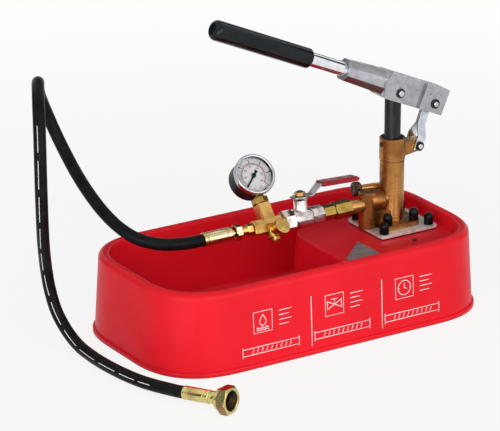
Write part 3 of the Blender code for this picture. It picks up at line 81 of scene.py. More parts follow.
def new_object(name, data):
    """An object in the scene for a mesh, a curve, a lamp or a camera."""
    made = bpy.data.objects.new(name, data)
    bpy.context.scene.collection.objects.link(made)
    return made


def new_mesh(name, shape):
    """A mesh from a shape in work, which is freed."""
    mesh = bpy.data.meshes.new(name)
    shape.to_mesh(mesh)
    shape.free()
    return mesh


# %% [markdown]
# ## Camera
# The product stands a little over three metres from a long lens, so its lines stay nearly
# parallel. The camera is an angle round the pump and a height, as a photographer would set it.

# %% Camera
view_azimuth = radians(-32.41)
view_elevation = radians(20.37)
view_distance = 3.26837
aim_right = -0.03301
aim_up = 0.09378
lens_mm = 249.43
clip_near = 0.1
clip_far = 40


def make_camera():
    """A camera on a long lens, level, looking down at the pump from the front left."""
    level = cos(view_elevation)
    back = Vector((sin(view_azimuth) * level, -cos(view_azimuth) * level,
                   sin(view_elevation)))
    right = Vector((cos(view_azimuth), sin(view_azimuth), 0))
    up = back.cross(right)
    lens = bpy.data.cameras.new("camera")
    lens.lens = lens_mm
    lens.clip_start = clip_near
    lens.clip_end = clip_far
    camera = new_object("camera", lens)
    turn = Matrix((right, up, back)).transposed().to_4x4()
    place = back * view_distance + right * aim_right + up * aim_up
    camera.matrix_world = Matrix.Translation(place) @ turn
    bpy.context.scene.camera = camera
    return camera


camera = make_camera()
print("camera at", [round(value, 3) for value in camera.location])

# %% [markdown]
# ## Effects that several finishes share
# Real surfaces are never one flat colour. Three effects come back again and again, so each one
# is a node group that is built once: a soft mottle, a fine grain, and the rings that a lathe
# tool leaves. A group puts out only a mask or a height, and each finish decides what it does.

# %% Small helpers for node trees


def add_node(tree, kind, inputs=(), **settings):
    """A shader node with its settings, and its inputs given as values or as sockets to join."""
    node = tree.nodes.new("ShaderNode" + kind)
    for name, value in settings.items():
        setattr(node, name, value)
    for key, value in dict(inputs).items():
        if isinstance(value, bpy.types.NodeSocket):
            tree.links.new(value, node.inputs[key])
        else:
            node.inputs[key].default_value = value
    return node


def start_group(name, numbers, vectors, output):
    """An empty shader group: the group, what it is given, and its output node."""
    group = bpy.data.node_groups.new(name, "ShaderNodeTree")
    for kind, sockets in (("NodeSocketFloat", numbers), ("NodeSocketVector", vectors)):
        for socket, value in sockets.items():
            made = group.interface.new_socket(socket, in_out="INPUT", socket_type=kind)
            made.default_value = value
    group.interface.new_socket(output, in_out="OUTPUT", socket_type="NodeSocketFloat")
    return group, group.nodes.new("NodeGroupInput").outputs, group.nodes.new("NodeGroupOutput")


def stretched_noise(group, given, detail, roughness):
    """Noise in the piece's own space, with the group's scale and stretch."""
    where = add_node(group, "TexCoord").outputs["Object"]
    spot = add_node(group, "VectorMath", {0: where, 1: given["Stretch"]},
                    operation="MULTIPLY").outputs["Vector"]
    return add_node(group, "TexNoise",
                    {"Vector": spot, "Scale": given["Scale"], "Detail": detail,
                     "Roughness": roughness}).outputs[0]


print("node helpers are ready")

# %% Soft mottle, fine grain and lathe rings


def make_mottle():
    """Cloudy patches, such as tarnish or handling marks, with a low and a high threshold."""
    group, given, result = start_group("mottle", {"Scale": 60.0, "Low": 0.4, "High": 0.65},
                                       {"Stretch": (1.0, 1.0, 1.0)}, "Mask")
    noise = stretched_noise(group, given, detail=4.0, roughness=0.6)
    mask = add_node(group, "MapRange",
                    {"Value": noise, "From Min": given["Low"], "From Max": given["High"]},
                    interpolation_type="SMOOTHSTEP")
    group.links.new(mask.outputs["Result"], result.inputs["Mask"])
    return group


def make_grain():
    """Fine grit, such as cast skin or orange peel, in a scale of its own."""
    group, given, result = start_group("grain", {"Scale": 900.0}, {"Stretch": (1.0, 1.0, 1.0)},
                                       "Height")
    noise = stretched_noise(group, given, detail=2.0, roughness=0.5)
    group.links.new(noise, result.inputs["Height"])
    return group


def make_rings():
    """Marks that a lathe tool leaves round an axis, on the side and on the flat end alike."""
    group, given, result = start_group("rings", {"Scale": 1500.0},
                                       {"Centre": (0.0, 0.0, 0.0), "Axis": (0.0, 0.0, 1.0)},
                                       "Height")
    where = add_node(group, "TexCoord").outputs["Object"]
    offset = add_node(group, "VectorMath", {0: where, 1: given["Centre"]},
                      operation="SUBTRACT").outputs["Vector"]
    along = add_node(group, "VectorMath", {0: offset, 1: given["Axis"]},
                     operation="DOT_PRODUCT").outputs["Value"]
    across = add_node(group, "VectorMath", {0: offset, 1: given["Axis"]},
                      operation="CROSS_PRODUCT").outputs["Vector"]
    radius = add_node(group, "VectorMath", {0: across},
                      operation="LENGTH").outputs["Value"]
    travel = add_node(group, "Math", {0: along, 1: radius}, operation="ADD").outputs[0]
    noise = add_node(group, "TexNoise",
                     {"W": travel, "Scale": given["Scale"], "Detail": 1.0},
                     noise_dimensions="1D").outputs[0]
    group.links.new(noise, result.inputs["Height"])
    return group


mottle, grain, rings = make_mottle(), make_grain(), make_rings()
print("groups:", [group.name for group in (mottle, grain, rings)])

# %% [markdown]
# ## Finishes
# Every finish is a Principled BSDF whose colour wanders between a fresh and an aged tone, whose
# roughness follows the same patches, and whose grain is a small bump. Values that are the same
# all over stay on the shader's own sockets, so that they survive an export.

# %% One builder for all finishes


def surface(name, fresh, aged, roughness, metallic=0.0, mottle_scale=60.0,
            mottle_range=(0.4, 0.65), stretch=(1.0, 1.0, 1.0), grain_scale=900.0,
            grain_depth=0.00002, turning=None, speckle=None, specular=0.5):
    """Two tones and two roughness values, with lathe marks (centre, axis, scale) and dark
    speckles (tone, scale, low, high) where they are given."""
    made = bpy.data.materials.new(name)
    made.use_nodes = True
    tree = made.node_tree
    shader = tree.nodes["Principled BSDF"]
    shader.inputs["Metallic"].default_value = metallic
    shader.inputs["Specular IOR Level"].default_value = specular
    mask = add_node(tree, "Group",
                    {"Scale": mottle_scale, "Low": mottle_range[0], "High": mottle_range[1],
                     "Stretch": stretch}, node_tree=mottle).outputs["Mask"]
    height = add_node(tree, "Group", {"Scale": grain_scale, "Stretch": stretch},
                      node_tree=grain).outputs["Height"]
    if turning:
        marks = add_node(tree, "Group", zip(("Centre", "Axis", "Scale"), turning),
                         node_tree=rings)
        height = add_node(tree, "Math", {0: height, 1: marks.outputs["Height"]},
                          operation="ADD").outputs[0]
    colour = add_node(tree, "Mix", {0: mask, 6: (*fresh, 1.0), 7: (*aged, 1.0)},
                      data_type="RGBA").outputs[2]
    if speckle:
        tone, scale, low, high = speckle
        dots = add_node(tree, "Group", {"Scale": scale, "Low": low, "High": high},
                        node_tree=mottle)
        colour = add_node(tree, "Mix",
                          {0: dots.outputs["Mask"], 6: colour, 7: (*tone, 1.0)},
                          data_type="RGBA").outputs[2]
    rough = add_node(tree, "MapRange",
                     {"Value": mask, "To Min": roughness[0], "To Max": roughness[1]})
    bump = add_node(tree, "Bump", {"Height": height, "Distance": grain_depth})
    tree.links.new(colour, shader.inputs["Base Color"])
    tree.links.new(rough.outputs["Result"], shader.inputs["Roughness"])
    tree.links.new(bump.outputs["Normal"], shader.inputs["Normal"])
    return made


print("the finish builder is ready")

# %% Axes that pieces and lathe marks share


def axis_frame(place, axis, towards=(1, 0, 0)):
    """A place whose Z runs along an axis and whose X leans towards a chosen side."""
    z = Vector(axis).normalized()
    x = Vector(towards) - z * z.dot(Vector(towards))
    x.normalize()
    return Matrix.Translation(place) @ Matrix((x, z.cross(x), z)).transposed().to_4x4()


def joint_named(name):
    """What the frame says about one of the pump's joints."""
    return next(entry for entry in frame["joints"] if entry["name"] == name)


def joint_axis(name, towards=(1, 0, 0)):
    """The axis of one of the pump's own joints."""
    return axis_frame(joint_named(name)["pos_m"], joint_named(name)["axis"], towards)


def turning_about(at, scale):
    """Where lathe marks run, as the finish builder wants it."""
    return tuple(at.translation), tuple(at.to_3x3().col[2]), scale


pump_x, _, lever_pin_z = joint_named("lever_pivot")["pos_m"]
line_z = joint_named("swivel")["pos_m"][2]
end_nut_place = Vector(joint_named("end_nut_turn")["pos_m"])
pump_axis = axis_frame((pump_x, 0, 0), (0, 0, 1))
line_axis = axis_frame((0, 0, line_z), (1, 0, 0), (0, 0, 1))
stem_axis = joint_axis("valve_stem_turn")
release_axis = joint_axis("release_screw")
check_axis = joint_axis("check_screw", (0, 0, 1))
gauge_axis = joint_axis("pointer_axis") @ Matrix.Rotation(pi, 4, "X")
end_axis = joint_axis("end_nut_turn", (0, 0, 1))

# %% Painted, plastic and rubber finishes
red_sheet = surface("red_sheet", (0.82, 0.009, 0.022), (0.74, 0.008, 0.018), (0.36, 0.46),
                    mottle_scale=14.0, mottle_range=(0.35, 0.75), grain_scale=420.0,
                    grain_depth=0.00005, specular=0.17)
printed_white = surface("printed_white", (0.86, 0.80, 0.82), (0.72, 0.60, 0.63), (0.5, 0.62),
                        mottle_scale=700.0, mottle_range=(0.5, 0.72), grain_scale=2400.0)
black_plastic = surface("black_plastic", (0.003, 0.003, 0.0035), (0.006, 0.006, 0.007),
                        (0.14, 0.26), mottle_scale=180.0, grain_scale=1400.0,
                        grain_depth=0.00001, specular=0.12)
grip_black = surface("grip_black", (0.003, 0.0035, 0.005), (0.006, 0.007, 0.009), (0.10, 0.20),
                     grain_depth=0.000004, specular=0.22)
case_black = surface("case_black", (0.008, 0.008, 0.009), (0.014, 0.014, 0.015), (0.34, 0.48),
                     mottle_scale=120.0, grain_scale=1600.0, grain_depth=0.00003, specular=0.12)
gasket_rubber = surface("gasket_rubber", (0.012, 0.011, 0.011), (0.024, 0.023, 0.022),
                        (0.6, 0.8), mottle_scale=240.0, grain_scale=2000.0, specular=0.25)
hose_rubber = surface("hose_rubber", (0.004, 0.004, 0.005), (0.008, 0.008, 0.009), (0.36, 0.5),
                      mottle_scale=90.0, grain_scale=1300.0, grain_depth=0.00007, specular=0.08)
red_sleeve = surface("red_sleeve", (0.36, 0.010, 0.022), (0.26, 0.008, 0.016), (0.3, 0.45),
                     mottle_scale=160.0, grain_scale=1800.0, grain_depth=0.00003, specular=0.2)
dial_white = surface("dial_white", (0.62, 0.60, 0.63), (0.56, 0.54, 0.58), (0.5, 0.6),
                     mottle_scale=120.0, grain_scale=2600.0, grain_depth=0.00001, specular=0.2)
dial_black = surface("dial_black", (0.006, 0.006, 0.007), (0.012, 0.012, 0.012), (0.5, 0.6),
                     mottle_scale=900.0, specular=0.1)
dial_red = surface("dial_red", (0.30, 0.008, 0.012), (0.22, 0.007, 0.010), (0.5, 0.6),
                   mottle_scale=900.0, specular=0.1)
print("painted, plastic and rubber finishes are ready")

# %% Brass, bronze and plated finishes
bronze = surface("bronze", (0.41, 0.195, 0.058), (0.24, 0.097, 0.028), (0.26, 0.44), 1.0,
                 mottle_scale=55.0, mottle_range=(0.38, 0.7), grain_scale=1500.0,
                 grain_depth=0.00005, turning=turning_about(pump_axis, 1600.0),
                 speckle=((0.10, 0.045, 0.02), 420.0, 0.69, 0.74))
bronze_outlet = surface("bronze_outlet", (0.66, 0.36, 0.13), (0.44, 0.21, 0.07), (0.24, 0.38),
                        1.0, mottle_scale=90.0, turning=turning_about(line_axis, 2200.0))
brass = surface("brass", (0.66, 0.40, 0.125), (0.40, 0.22, 0.055), (0.24, 0.4), 1.0,
                mottle_scale=70.0, mottle_range=(0.42, 0.72), grain_scale=1500.0,
                grain_depth=0.00003, speckle=((0.22, 0.11, 0.03), 380.0, 0.68, 0.76))
brass_line = surface("brass_line", (0.40, 0.27, 0.065), (0.24, 0.15, 0.032), (0.22, 0.36), 1.0,
                     mottle_scale=90.0, mottle_range=(0.4, 0.7))
brass_knob = surface("brass_knob", (0.66, 0.44, 0.15), (0.44, 0.27, 0.075), (0.24, 0.36), 1.0,
                     mottle_scale=90.0, turning=turning_about(release_axis, 2600.0),
                     grain_depth=0.00009)
plated_brass = surface("plated_brass", (0.74, 0.66, 0.40), (0.44, 0.35, 0.15), (0.14, 0.3), 1.0,
                       mottle_scale=75.0, mottle_range=(0.42, 0.74), grain_scale=1200.0,
                       turning=turning_about(line_axis, 1900.0))
plated_end = surface("plated_end", (0.66, 0.56, 0.22), (0.36, 0.19, 0.075), (0.12, 0.28), 1.0,
                     mottle_scale=70.0, mottle_range=(0.45, 0.78), grain_scale=1200.0,
                     turning=turning_about(end_axis, 1900.0))
# A browned copy of the plating for every other flat of the union nut: painted shade that stands in
# for the flats' differing reflections.
plated_brown = surface("plated_brown", (0.34, 0.17, 0.07), (0.17, 0.06, 0.035), (0.2, 0.36), 1.0,
                       mottle_scale=110.0, mottle_range=(0.4, 0.7), grain_scale=1200.0)
# A near-black copy of bronze for the check knob: painted shade for a knob that stands in shadow.
dark_bronze = surface("dark_bronze", (0.060, 0.034, 0.018), (0.030, 0.018, 0.011), (0.3, 0.45),
                      0.8, mottle_scale=160.0, grain_scale=1500.0)
# A near-black copy of brass for the thread inside the union nut's mouth: painted shade in the bore.
thread_dark = surface("thread_dark", (0.050, 0.034, 0.016), (0.022, 0.015, 0.008), (0.3, 0.5),
                      0.9, mottle_scale=160.0, grain_scale=1500.0)
print("yellow metal finishes are ready")

# %% Steel, nickel, chrome and aluminium finishes
zinc_plate = surface("zinc_plate", (0.88, 0.87, 0.85), (0.55, 0.50, 0.45), (0.26, 0.46), 0.35,
                     mottle_scale=130.0, mottle_range=(0.42, 0.72), grain_scale=1600.0,
                     grain_depth=0.00006, stretch=(1.0, 0.35, 1.0))
nickel = surface("nickel", (0.70, 0.64, 0.62), (0.40, 0.34, 0.33), (0.16, 0.34), 1.0,
                 mottle_scale=110.0, mottle_range=(0.42, 0.7), grain_scale=1300.0,
                 grain_depth=0.00008)
bezel_metal = surface("bezel_metal", (0.52, 0.52, 0.54), (0.40, 0.40, 0.42), (0.22, 0.32), 1.0,
                      mottle_scale=110.0, grain_scale=1300.0)
cast_aluminium = surface("cast_aluminium", (0.42, 0.42, 0.45), (0.29, 0.29, 0.31), (0.28, 0.46),
                         1.0, mottle_scale=130.0, mottle_range=(0.36, 0.70), grain_scale=1100.0,
                         grain_depth=0.00012, speckle=((0.14, 0.14, 0.15), 300.0, 0.64, 0.72))
# A darker copy of the cast aluminium, used as painted shade on the recessed band of the lever head's
# cheeks.
cast_shadow = surface("cast_shadow", (0.20, 0.20, 0.21), (0.13, 0.13, 0.14), (0.4, 0.6), 1.0,
                      mottle_scale=75.0, grain_scale=1100.0, grain_depth=0.00012)
lever_steel = surface("lever_steel", (0.36, 0.36, 0.37), (0.20, 0.20, 0.21), (0.30, 0.46), 1.0,
                      mottle_scale=120.0, grain_scale=1500.0, grain_depth=0.00005)
bright_steel = surface("bright_steel", (0.66, 0.68, 0.71), (0.46, 0.48, 0.52), (0.16, 0.3), 1.0,
                       mottle_scale=110.0, grain_scale=1500.0)
chrome = surface("chrome", (0.84, 0.85, 0.88), (0.74, 0.75, 0.80), (0.04, 0.1), 1.0,
                 mottle_scale=90.0, grain_scale=800.0, grain_depth=0.00001)
dark_steel = surface("dark_steel", (0.014, 0.014, 0.016), (0.026, 0.025, 0.027), (0.3, 0.45),
                     0.3, mottle_scale=150.0, grain_scale=1500.0, stretch=(1.0, 1.0, 0.15),
                     specular=0.2)
name_plate = surface("name_plate", (0.25, 0.22, 0.24), (0.18, 0.16, 0.17), (0.40, 0.55), 0.1,
                     mottle_scale=200.0, grain_scale=2200.0, stretch=(0.2, 1.0, 1.0))
print("white metal finishes are ready")

# %% [markdown]
# Glass for the gauge is a plain Principled BSDF with full transmission, because a lens this thin
# needs no more than a trace of dust on it.

# %% Lens finish
lens_tint = (0.97, 0.98, 0.98, 1.0)
lens_index = 1.18
dust_scale = 150.0
dust_roughness = 0.06


def make_lens_finish():
    """Clear glass with a faint film of dust."""
    made = bpy.data.materials.new("clear_lens")
    made.use_nodes = True
    tree = made.node_tree
    shader = tree.nodes["Principled BSDF"]
    shader.inputs["Base Color"].default_value = lens_tint
    shader.inputs["Transmission Weight"].default_value = 1.0
    shader.inputs["IOR"].default_value = lens_index
    film = add_node(tree, "Group", {"Scale": dust_scale}, node_tree=mottle)
    rough = add_node(tree, "MapRange",
                     {"Value": film.outputs["Mask"], "To Min": 0.0, "To Max": dust_roughness})
    tree.links.new(rough.outputs["Result"], shader.inputs["Roughness"])
    return made


clear_lens = make_lens_finish()
print("lens finish is ready")

# %% [markdown]
# ## Building pieces
# A machined edge is never perfectly sharp: it is broken by a fraction of a millimetre, and that
# is what catches the light. Turned pieces are spun from an outline whose corners are eased
# first. Other pieces start from the CAD solid, are cleaned of needless edges, and get a small
# bevel.

# %% Placing a piece and easing its edges
weld_distance = 0.00001
fine_weld_distance = 0.000001
edge_ease = 0.0003
fine_ease = 0.0001
sharp_angle = radians(32)
round_angle = radians(50)
flat_angle = radians(0.6)


def place_piece(name, shape, material, nodes=(), body=None, sharp=sharp_angle):
    """Turn a bmesh into a piece that rides on a body and stands for CAD nodes."""
    mesh = new_mesh(name, shape)
    mesh.materials.append(material)
    mesh.shade_smooth()
    mesh.set_sharp_from_angle(angle=sharp)
    piece = new_object(name, mesh)
    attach(piece, body or cad[nodes[0]]["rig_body"])
    if nodes:
        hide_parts(*nodes)
    slot = material.name
    if slot not in slots and nodes:
        slot = cad[nodes[0]].data.materials[0].name
    return piece


def remake(node, shape, material, sharp=sharp_angle):
    """The piece that stands for one CAD solid."""
    return place_piece(node + "_made", shape, material, (node,), sharp=sharp)


def ease_edges(piece, width=edge_ease, segments=2):
    """Break a piece's sharp edges with a small bevel."""
    change = piece.modifiers.new("eased", "BEVEL")
    change.width = width
    change.segments = segments
    change.limit_method = "ANGLE"
    change.angle_limit = sharp_angle
    change.harden_normals = True


def clean_cad(node):
    """The CAD solid as a welded shape with its flat faces joined up."""
    shape = bmesh.new()
    shape.from_mesh(cad[node].data)
    bmesh.ops.remove_doubles(shape, verts=shape.verts[:], dist=weld_distance)
    bmesh.ops.dissolve_limit(shape, angle_limit=flat_angle, verts=shape.verts[:],
                             edges=shape.edges[:])
    return shape


def from_cad(node, material, ease=edge_ease, segments=2):
    """The CAD solid with its flat faces joined up, its round ones smooth and its edges eased."""
    piece = remake(node, clean_cad(node), material)
    if ease:
        ease_edges(piece, ease, segments)


# %% Turned pieces
fine_sides = 64
smooth_sides = 96
small_sides = 24
hexagon_sides = 6
half_facet = pi / hexagon_sides
corner_share = 0.45


def eased(outline, ease):
    """An outline of (radius, height) points with a small curve at each corner off the axis."""
    closed = outline[0][0] > 0
    points = [Vector(point) for point in outline]
    made = []
    for spot, point in enumerate(points):
        before = points[spot - 1]
        after = points[(spot + 1) % len(points)]
        if not closed and spot in (0, len(points) - 1):
            made.append(point)
            continue
        back = min(ease, (before - point).length * corner_share)
        ahead = min(ease, (after - point).length * corner_share)
        start = point + (before - point).normalized() * back
        stop = point + (after - point).normalized() * ahead
        made += [start, (start + stop + point * 2) / 4, stop]
    return made


def band(inner, outer, low, high):
    """The outline of a plain ring, or of a plain disc where the inner radius is 0."""
    return [(inner, low), (outer, low), (outer, high), (inner, high)]


def spun(outline, at=Matrix.Identity(4), ease=edge_ease, sides=fine_sides):
    """Spin an outline about an axis; one that starts and ends on the axis is solid."""
    shape = bmesh.new()
    ring = [shape.verts.new((radius, 0, height)) for radius, height in eased(outline, ease)]
    edges = [shape.edges.new(pair) for pair in zip(ring, ring[1:])]
    if outline[0][0] > 0:
        edges.append(shape.edges.new((ring[-1], ring[0])))
    bmesh.ops.spin(shape, geom=ring + edges, axis=(0, 0, 1), cent=(0, 0, 0),
                   angle=tau, steps=sides, use_merge=True)
    bmesh.ops.remove_doubles(shape, verts=shape.verts[:], dist=fine_weld_distance)
    bmesh.ops.recalc_face_normals(shape, faces=shape.faces[:])
    shape.transform(at)
    return shape


def off_axis(spot):
    """How far a point lies from its frame's Z axis."""
    return hypot(spot.x, spot.y)


def spots_about(node, at):
    """A CAD node's points in the frame of an axis."""
    back = at.inverted()
    return [back @ vert.co for vert in cad[node].data.vertices]


def reach(node, at):
    """Low end, high end and widest radius of a CAD node about an axis."""
    spots = spots_about(node, at)
    heights = [spot.z for spot in spots]
    return min(heights), max(heights), max(off_axis(spot) for spot in spots)


print("piece builders are ready")

# %% [markdown]
# ## Hose
# The hose is a stiff rubber pressure hose of about 12 mm. It leaves the ferrule, dips over the
# basin, rises in a tall narrow arch beside the tub and comes back down to the floor. It is one
# curve through given points, the same ones as in the CAD source.

# %% Hose
ferrule_left = -0.0909
seat_gap = 0.0003
hose_radius = 0.0058
hose_straight = 0.0080
hose_round_steps = 8
end_ferrule_start = 0.04305
end_direction = end_axis.to_3x3().col[2]
hose_route = (
    (-0.1122, 0.0003, 0.0945), (-0.1318, 0.0065, 0.0960),
    (-0.1473, 0.0198, 0.0998), (-0.1569, 0.0373, 0.1072), (-0.1630, 0.0559, 0.1178),
    (-0.1672, 0.0740, 0.1307), (-0.1702, 0.0912, 0.1449), (-0.1724, 0.1071, 0.1602),
    (-0.1761, 0.1192, 0.1777), (-0.1827, 0.1240, 0.1977), (-0.1917, 0.1199, 0.2169),
    (-0.2008, 0.1077, 0.2317), (-0.2097, 0.0910, 0.2420), (-0.2197, 0.0728, 0.2476),
    (-0.2299, 0.0544, 0.2454), (-0.2386, 0.0381, 0.2346), (-0.2443, 0.0271, 0.2167),
    (-0.2467, 0.0225, 0.1953), (-0.2467, 0.0223, 0.1730), (-0.2450, 0.0249, 0.1509),
    (-0.2417, 0.0303, 0.1296), (-0.2366, 0.0386, 0.1098), (-0.2301, 0.0486, 0.0913),
    (-0.2237, 0.0573, 0.0723), (-0.2190, 0.0600, 0.0518), (-0.2159, 0.0540, 0.0320),
    (-0.2128, 0.0405, 0.0165), (-0.2112, 0.0221, 0.0080), (-0.2111, 0.0005, 0.0059),
    (-0.2110, -0.0229, 0.0059), (-0.2092, -0.0438, 0.0059), (-0.2064, -0.0623, 0.0059),
    (-0.2028, -0.0773, 0.0059), (-0.1991, -0.0886, 0.0061), (-0.1955, -0.0985, 0.0065),
    (-0.1922, -0.1090, 0.0073),
)


def smooth_route(points, route_steps=6):
    """A smooth curve through a given route."""
    spots = [points[0] * 2 - points[1]] + points + [points[-1] * 2 - points[-2]]
    fine = []
    for before, start, stop, after in zip(spots, spots[1:], spots[2:], spots[3:]):
        for step in range(route_steps):
            t = step / route_steps
            fine.append(0.5 * (2 * start + (stop - before) * t
                               + (2 * before - 5 * start + 4 * stop - after) * t * t
                               + (3 * start - before - 3 * stop + after) * t * t * t))
    fine.append(points[-1])
    return fine


def hose_line():
    """Every point of the hose's middle line, from the ferrule to the end fitting."""
    start = Vector((ferrule_left - seat_gap, 0, line_z))
    stop = end_nut_place - end_direction * (end_ferrule_start + seat_gap)
    inner = [start - Vector((hose_straight, 0, 0))]
    inner += [Vector(point) for point in hose_route]
    inner.append(stop - end_direction * hose_straight)
    return [start] + smooth_route(inner) + [stop]


def make_hose(points):
    """The hose as one round curve with closed ends."""
    line = bpy.data.curves.new("hose_line", "CURVE")
    line.dimensions = "3D"
    line.bevel_depth = hose_radius
    line.bevel_resolution = hose_round_steps
    line.use_fill_caps = True
    spline = line.splines.new("POLY")
    spline.points.add(len(points) - 1)
    for spot, point in zip(spline.points, points):
        spot.co = (*point, 1)
    line.materials.append(hose_rubber)
    hose = new_object("hose_line", line)
    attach(hose, cad["hose"]["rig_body"])
    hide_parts("hose")
    return hose


hose_points = hose_line()
hose_object = make_hose(hose_points)

# %% [markdown]
# A thin white line runs along the outer side of the hose, broken at even steps, where such hoses
# carry their printed data. It is a narrow ribbon just above the rubber.

# %% Line along the hose
stripe_half_width = 0.00032
stripe_lift = 0.00006
stripe_start_share = 0.45
stripe_stop_share = 0.93
stripe_side = Vector((-0.72, -0.62, 0.30)).normalized()
dash_points = 9
dash_gap = 2


def make_stripe(points):
    """Dashes of a ribbon on the side of the hose that faces the front left."""
    shape = bmesh.new()
    first = int(len(points) * stripe_start_share)
    last = int(len(points) * stripe_stop_share)
    before = None
    for spot in range(first, last):
        along = (points[spot + 1] - points[spot - 1]).normalized()
        out = (stripe_side - along * along.dot(stripe_side)).normalized()
        across = along.cross(out) * stripe_half_width
        centre = points[spot] + out * (hose_radius + stripe_lift)
        pair = [shape.verts.new(centre - across), shape.verts.new(centre + across)]
        if before and spot % dash_points >= dash_gap:
            shape.faces.new((before[0], pair[0], pair[1], before[1]))
        before = pair
    loose = [vert for vert in shape.verts if not vert.link_faces]
    bmesh.ops.delete(shape, geom=loose, context="VERTS")
    return place_piece("hose_stripe", shape, printed_white, body="tub")


stripe = make_stripe(hose_points)
print("stripe faces:", len(stripe.data.polygons))

# %% [markdown]
# ## Tub
# The tub is one sheet of plastic, formed over a mould: a flange, a leaning wall, a rolled rim, a
# basin and a raised deck. It is a stack of rings, each one a rounded rectangle, that steps up the
# outside, over the rim and down again. The sheet gets its thickness from a modifier.

# %% Tub sizes
tub_length = 0.356
tub_width = 0.1872
tub_height = 0.0787
tub_corner_radius = 0.07135
tub_sheet = 0.0026
tub_sharp_angle = radians(40)
flange_width = 0.002
flange_edge = 0.0032
flange_height = 0.0044
flange_step = 0.0006
rim_outer_radius = 0.0065
rim_inner_radius = 0.0035
deck_drop = 0.0129
deck_top = tub_height - deck_drop
deck_left = 0.030
deck_rear = 0.047
deck_corner_radius = 0.028
deck_edge_radius = 0.003
basin_floor = 0.0055
floor_fillet = 0.006
corner_power = 2.5
draft_share = 0.056
corner_steps = 24
rim_steps = 8
basin_steps = 6


def quarter(steps, first=1):
    """Sine and cosine at even steps of a quarter turn."""
    angles = [quarter_turn * step / steps for step in range(first, steps + 1)]
    return [(sin(angle), cos(angle)) for angle in angles]


def wall_corner(offset, sign_x, sign_y, start, stop, steps):
    """Points of one soft corner of the wall."""
    half_x = tub_length / 2 - offset
    half_y = tub_width / 2 - offset
    radius = tub_corner_radius - offset
    points = []
    for step in range(steps + 1):
        angle = start + (stop - start) * step / steps
        across = max(0, cos(angle)) ** (2 / corner_power)
        along = max(0, sin(angle)) ** (2 / corner_power)
        points.append((sign_x * (half_x - radius + radius * across),
                       sign_y * (half_y - radius + radius * along)))
    return points


def wall_ring(offset, inset):
    """One level of the wall, split where the deck's edges meet it."""
    radius = tub_corner_radius - offset
    half_y = tub_width / 2 - offset
    share = (deck_rear - inset - (half_y - radius)) / radius
    split = asin(share ** (corner_power / 2))
    front = [(deck_left + inset, -half_y)]
    pump_side = front + wall_corner(offset, 1, -1, quarter_turn, 0, corner_steps)
    pump_side += wall_corner(offset, 1, 1, 0, split, corner_steps // 2)
    basin_side = wall_corner(offset, 1, 1, split, quarter_turn, corner_steps // 2)
    basin_side += wall_corner(offset, -1, 1, quarter_turn, 0, corner_steps)
    basin_side += wall_corner(offset, -1, -1, 0, quarter_turn, corner_steps)
    return pump_side, basin_side + front


def deck_edge(inset):
    """The deck's free edge: up the left side and round the corner."""
    radius = deck_corner_radius - inset
    return [(deck_left + inset + radius * (1 - cosine), deck_rear - inset - radius * (1 - sine))
            for sine, cosine in quarter(corner_steps, first=0)]


def wall_levels():
    """(offset, height) from the flange over the rim."""
    shoulder = tub_height - rim_outer_radius
    start = draft_share * (shoulder - flange_height)
    crest = start + rim_outer_radius
    levels = [(-flange_width, 0), (-flange_width, flange_edge),
              (-flange_width + flange_step, flange_height - flange_step / 2), (0, flange_height),
              (start, shoulder)]
    levels += [(crest - rim_outer_radius * cosine, shoulder + rim_outer_radius * sine)
               for sine, cosine in quarter(rim_steps)]
    levels += [(crest + rim_inner_radius * sine, tub_height - rim_inner_radius * (1 - cosine))
               for sine, cosine in quarter(rim_steps)]
    return levels


def inner_offset(height):
    """How far the inner wall stands in from the outline at a height."""
    top, top_height = wall_levels()[-1]
    return top + draft_share * (top_height - height)


def basin_levels():
    """(offset, inset, height) of the basin from the deck's edge down to the floor."""
    levels = []
    for sine, cosine in quarter(basin_steps):
        height = deck_top - deck_edge_radius * (1 - cosine)
        levels.append((inner_offset(height), deck_edge_radius * (1 - sine), height))
    foot = basin_floor + floor_fillet
    lean = draft_share * (deck_top - deck_edge_radius - foot)
    levels.append((inner_offset(foot), -lean, foot))
    for sine, cosine in quarter(basin_steps):
        out = floor_fillet * (1 - cosine)
        levels.append((inner_offset(foot) + out, -lean - out, foot - floor_fillet * sine))
    return levels


print("tub levels:", len(wall_levels()) + len(basin_levels()))

# %% Tub mesh


def bridge(shape, ring, after):
    """Quads between two closed rings with the same number of points."""
    for spot in range(len(ring)):
        nxt = (spot + 1) % len(ring)
        shape.faces.new((ring[spot], ring[nxt], after[nxt], after[spot]))


def tub_shape():
    """The formed sheet's upper skin."""
    shape = bmesh.new()
    inset = deck_edge_radius
    previous = None
    for offset, height in wall_levels() + [(inner_offset(deck_top), deck_top)]:
        pump_side, basin_side = wall_ring(offset, inset)
        pump_verts = [shape.verts.new((x, y, height)) for x, y in pump_side]
        basin_verts = [shape.verts.new((x, y, height)) for x, y in basin_side[1:-1]]
        ring = pump_verts + basin_verts
        if previous:
            bridge(shape, previous, ring)
        previous = ring
    edge = [shape.verts.new((x, y, deck_top)) for x, y in deck_edge(inset)]
    shape.faces.new(pump_verts + list(reversed(edge)))
    loop = [pump_verts[-1]] + basin_verts + [pump_verts[0]] + edge
    for offset, inset_now, height in basin_levels():
        points = wall_ring(offset, inset_now)[1] + deck_edge(inset_now)
        lower = [shape.verts.new((x, y, height)) for x, y in points]
        bridge(shape, loop, lower)
        loop = lower
    shape.faces.new(loop)
    bmesh.ops.remove_doubles(shape, verts=shape.verts[:], dist=weld_distance)
    return shape


tub = place_piece("tub_sheet", tub_shape(), red_sheet, ("tub",), sharp=tub_sharp_angle)
sheet = tub.modifiers.new("sheet", "SOLIDIFY")
sheet.thickness = tub_sheet
sheet.offset = -1
sheet.use_even_offset = True
sheet.use_quality_normals = True
print("tub faces:", len(tub.data.polygons))

# %% [markdown]
# ## Print on the front wall
# The front wall carries white line drawings. Here they are a plain design in three fields: signs
# for water, a valve and waiting time, each with short lines beside it and a length of pipe below.
# The ink is made of real ribbons that lie on the leaning wall.

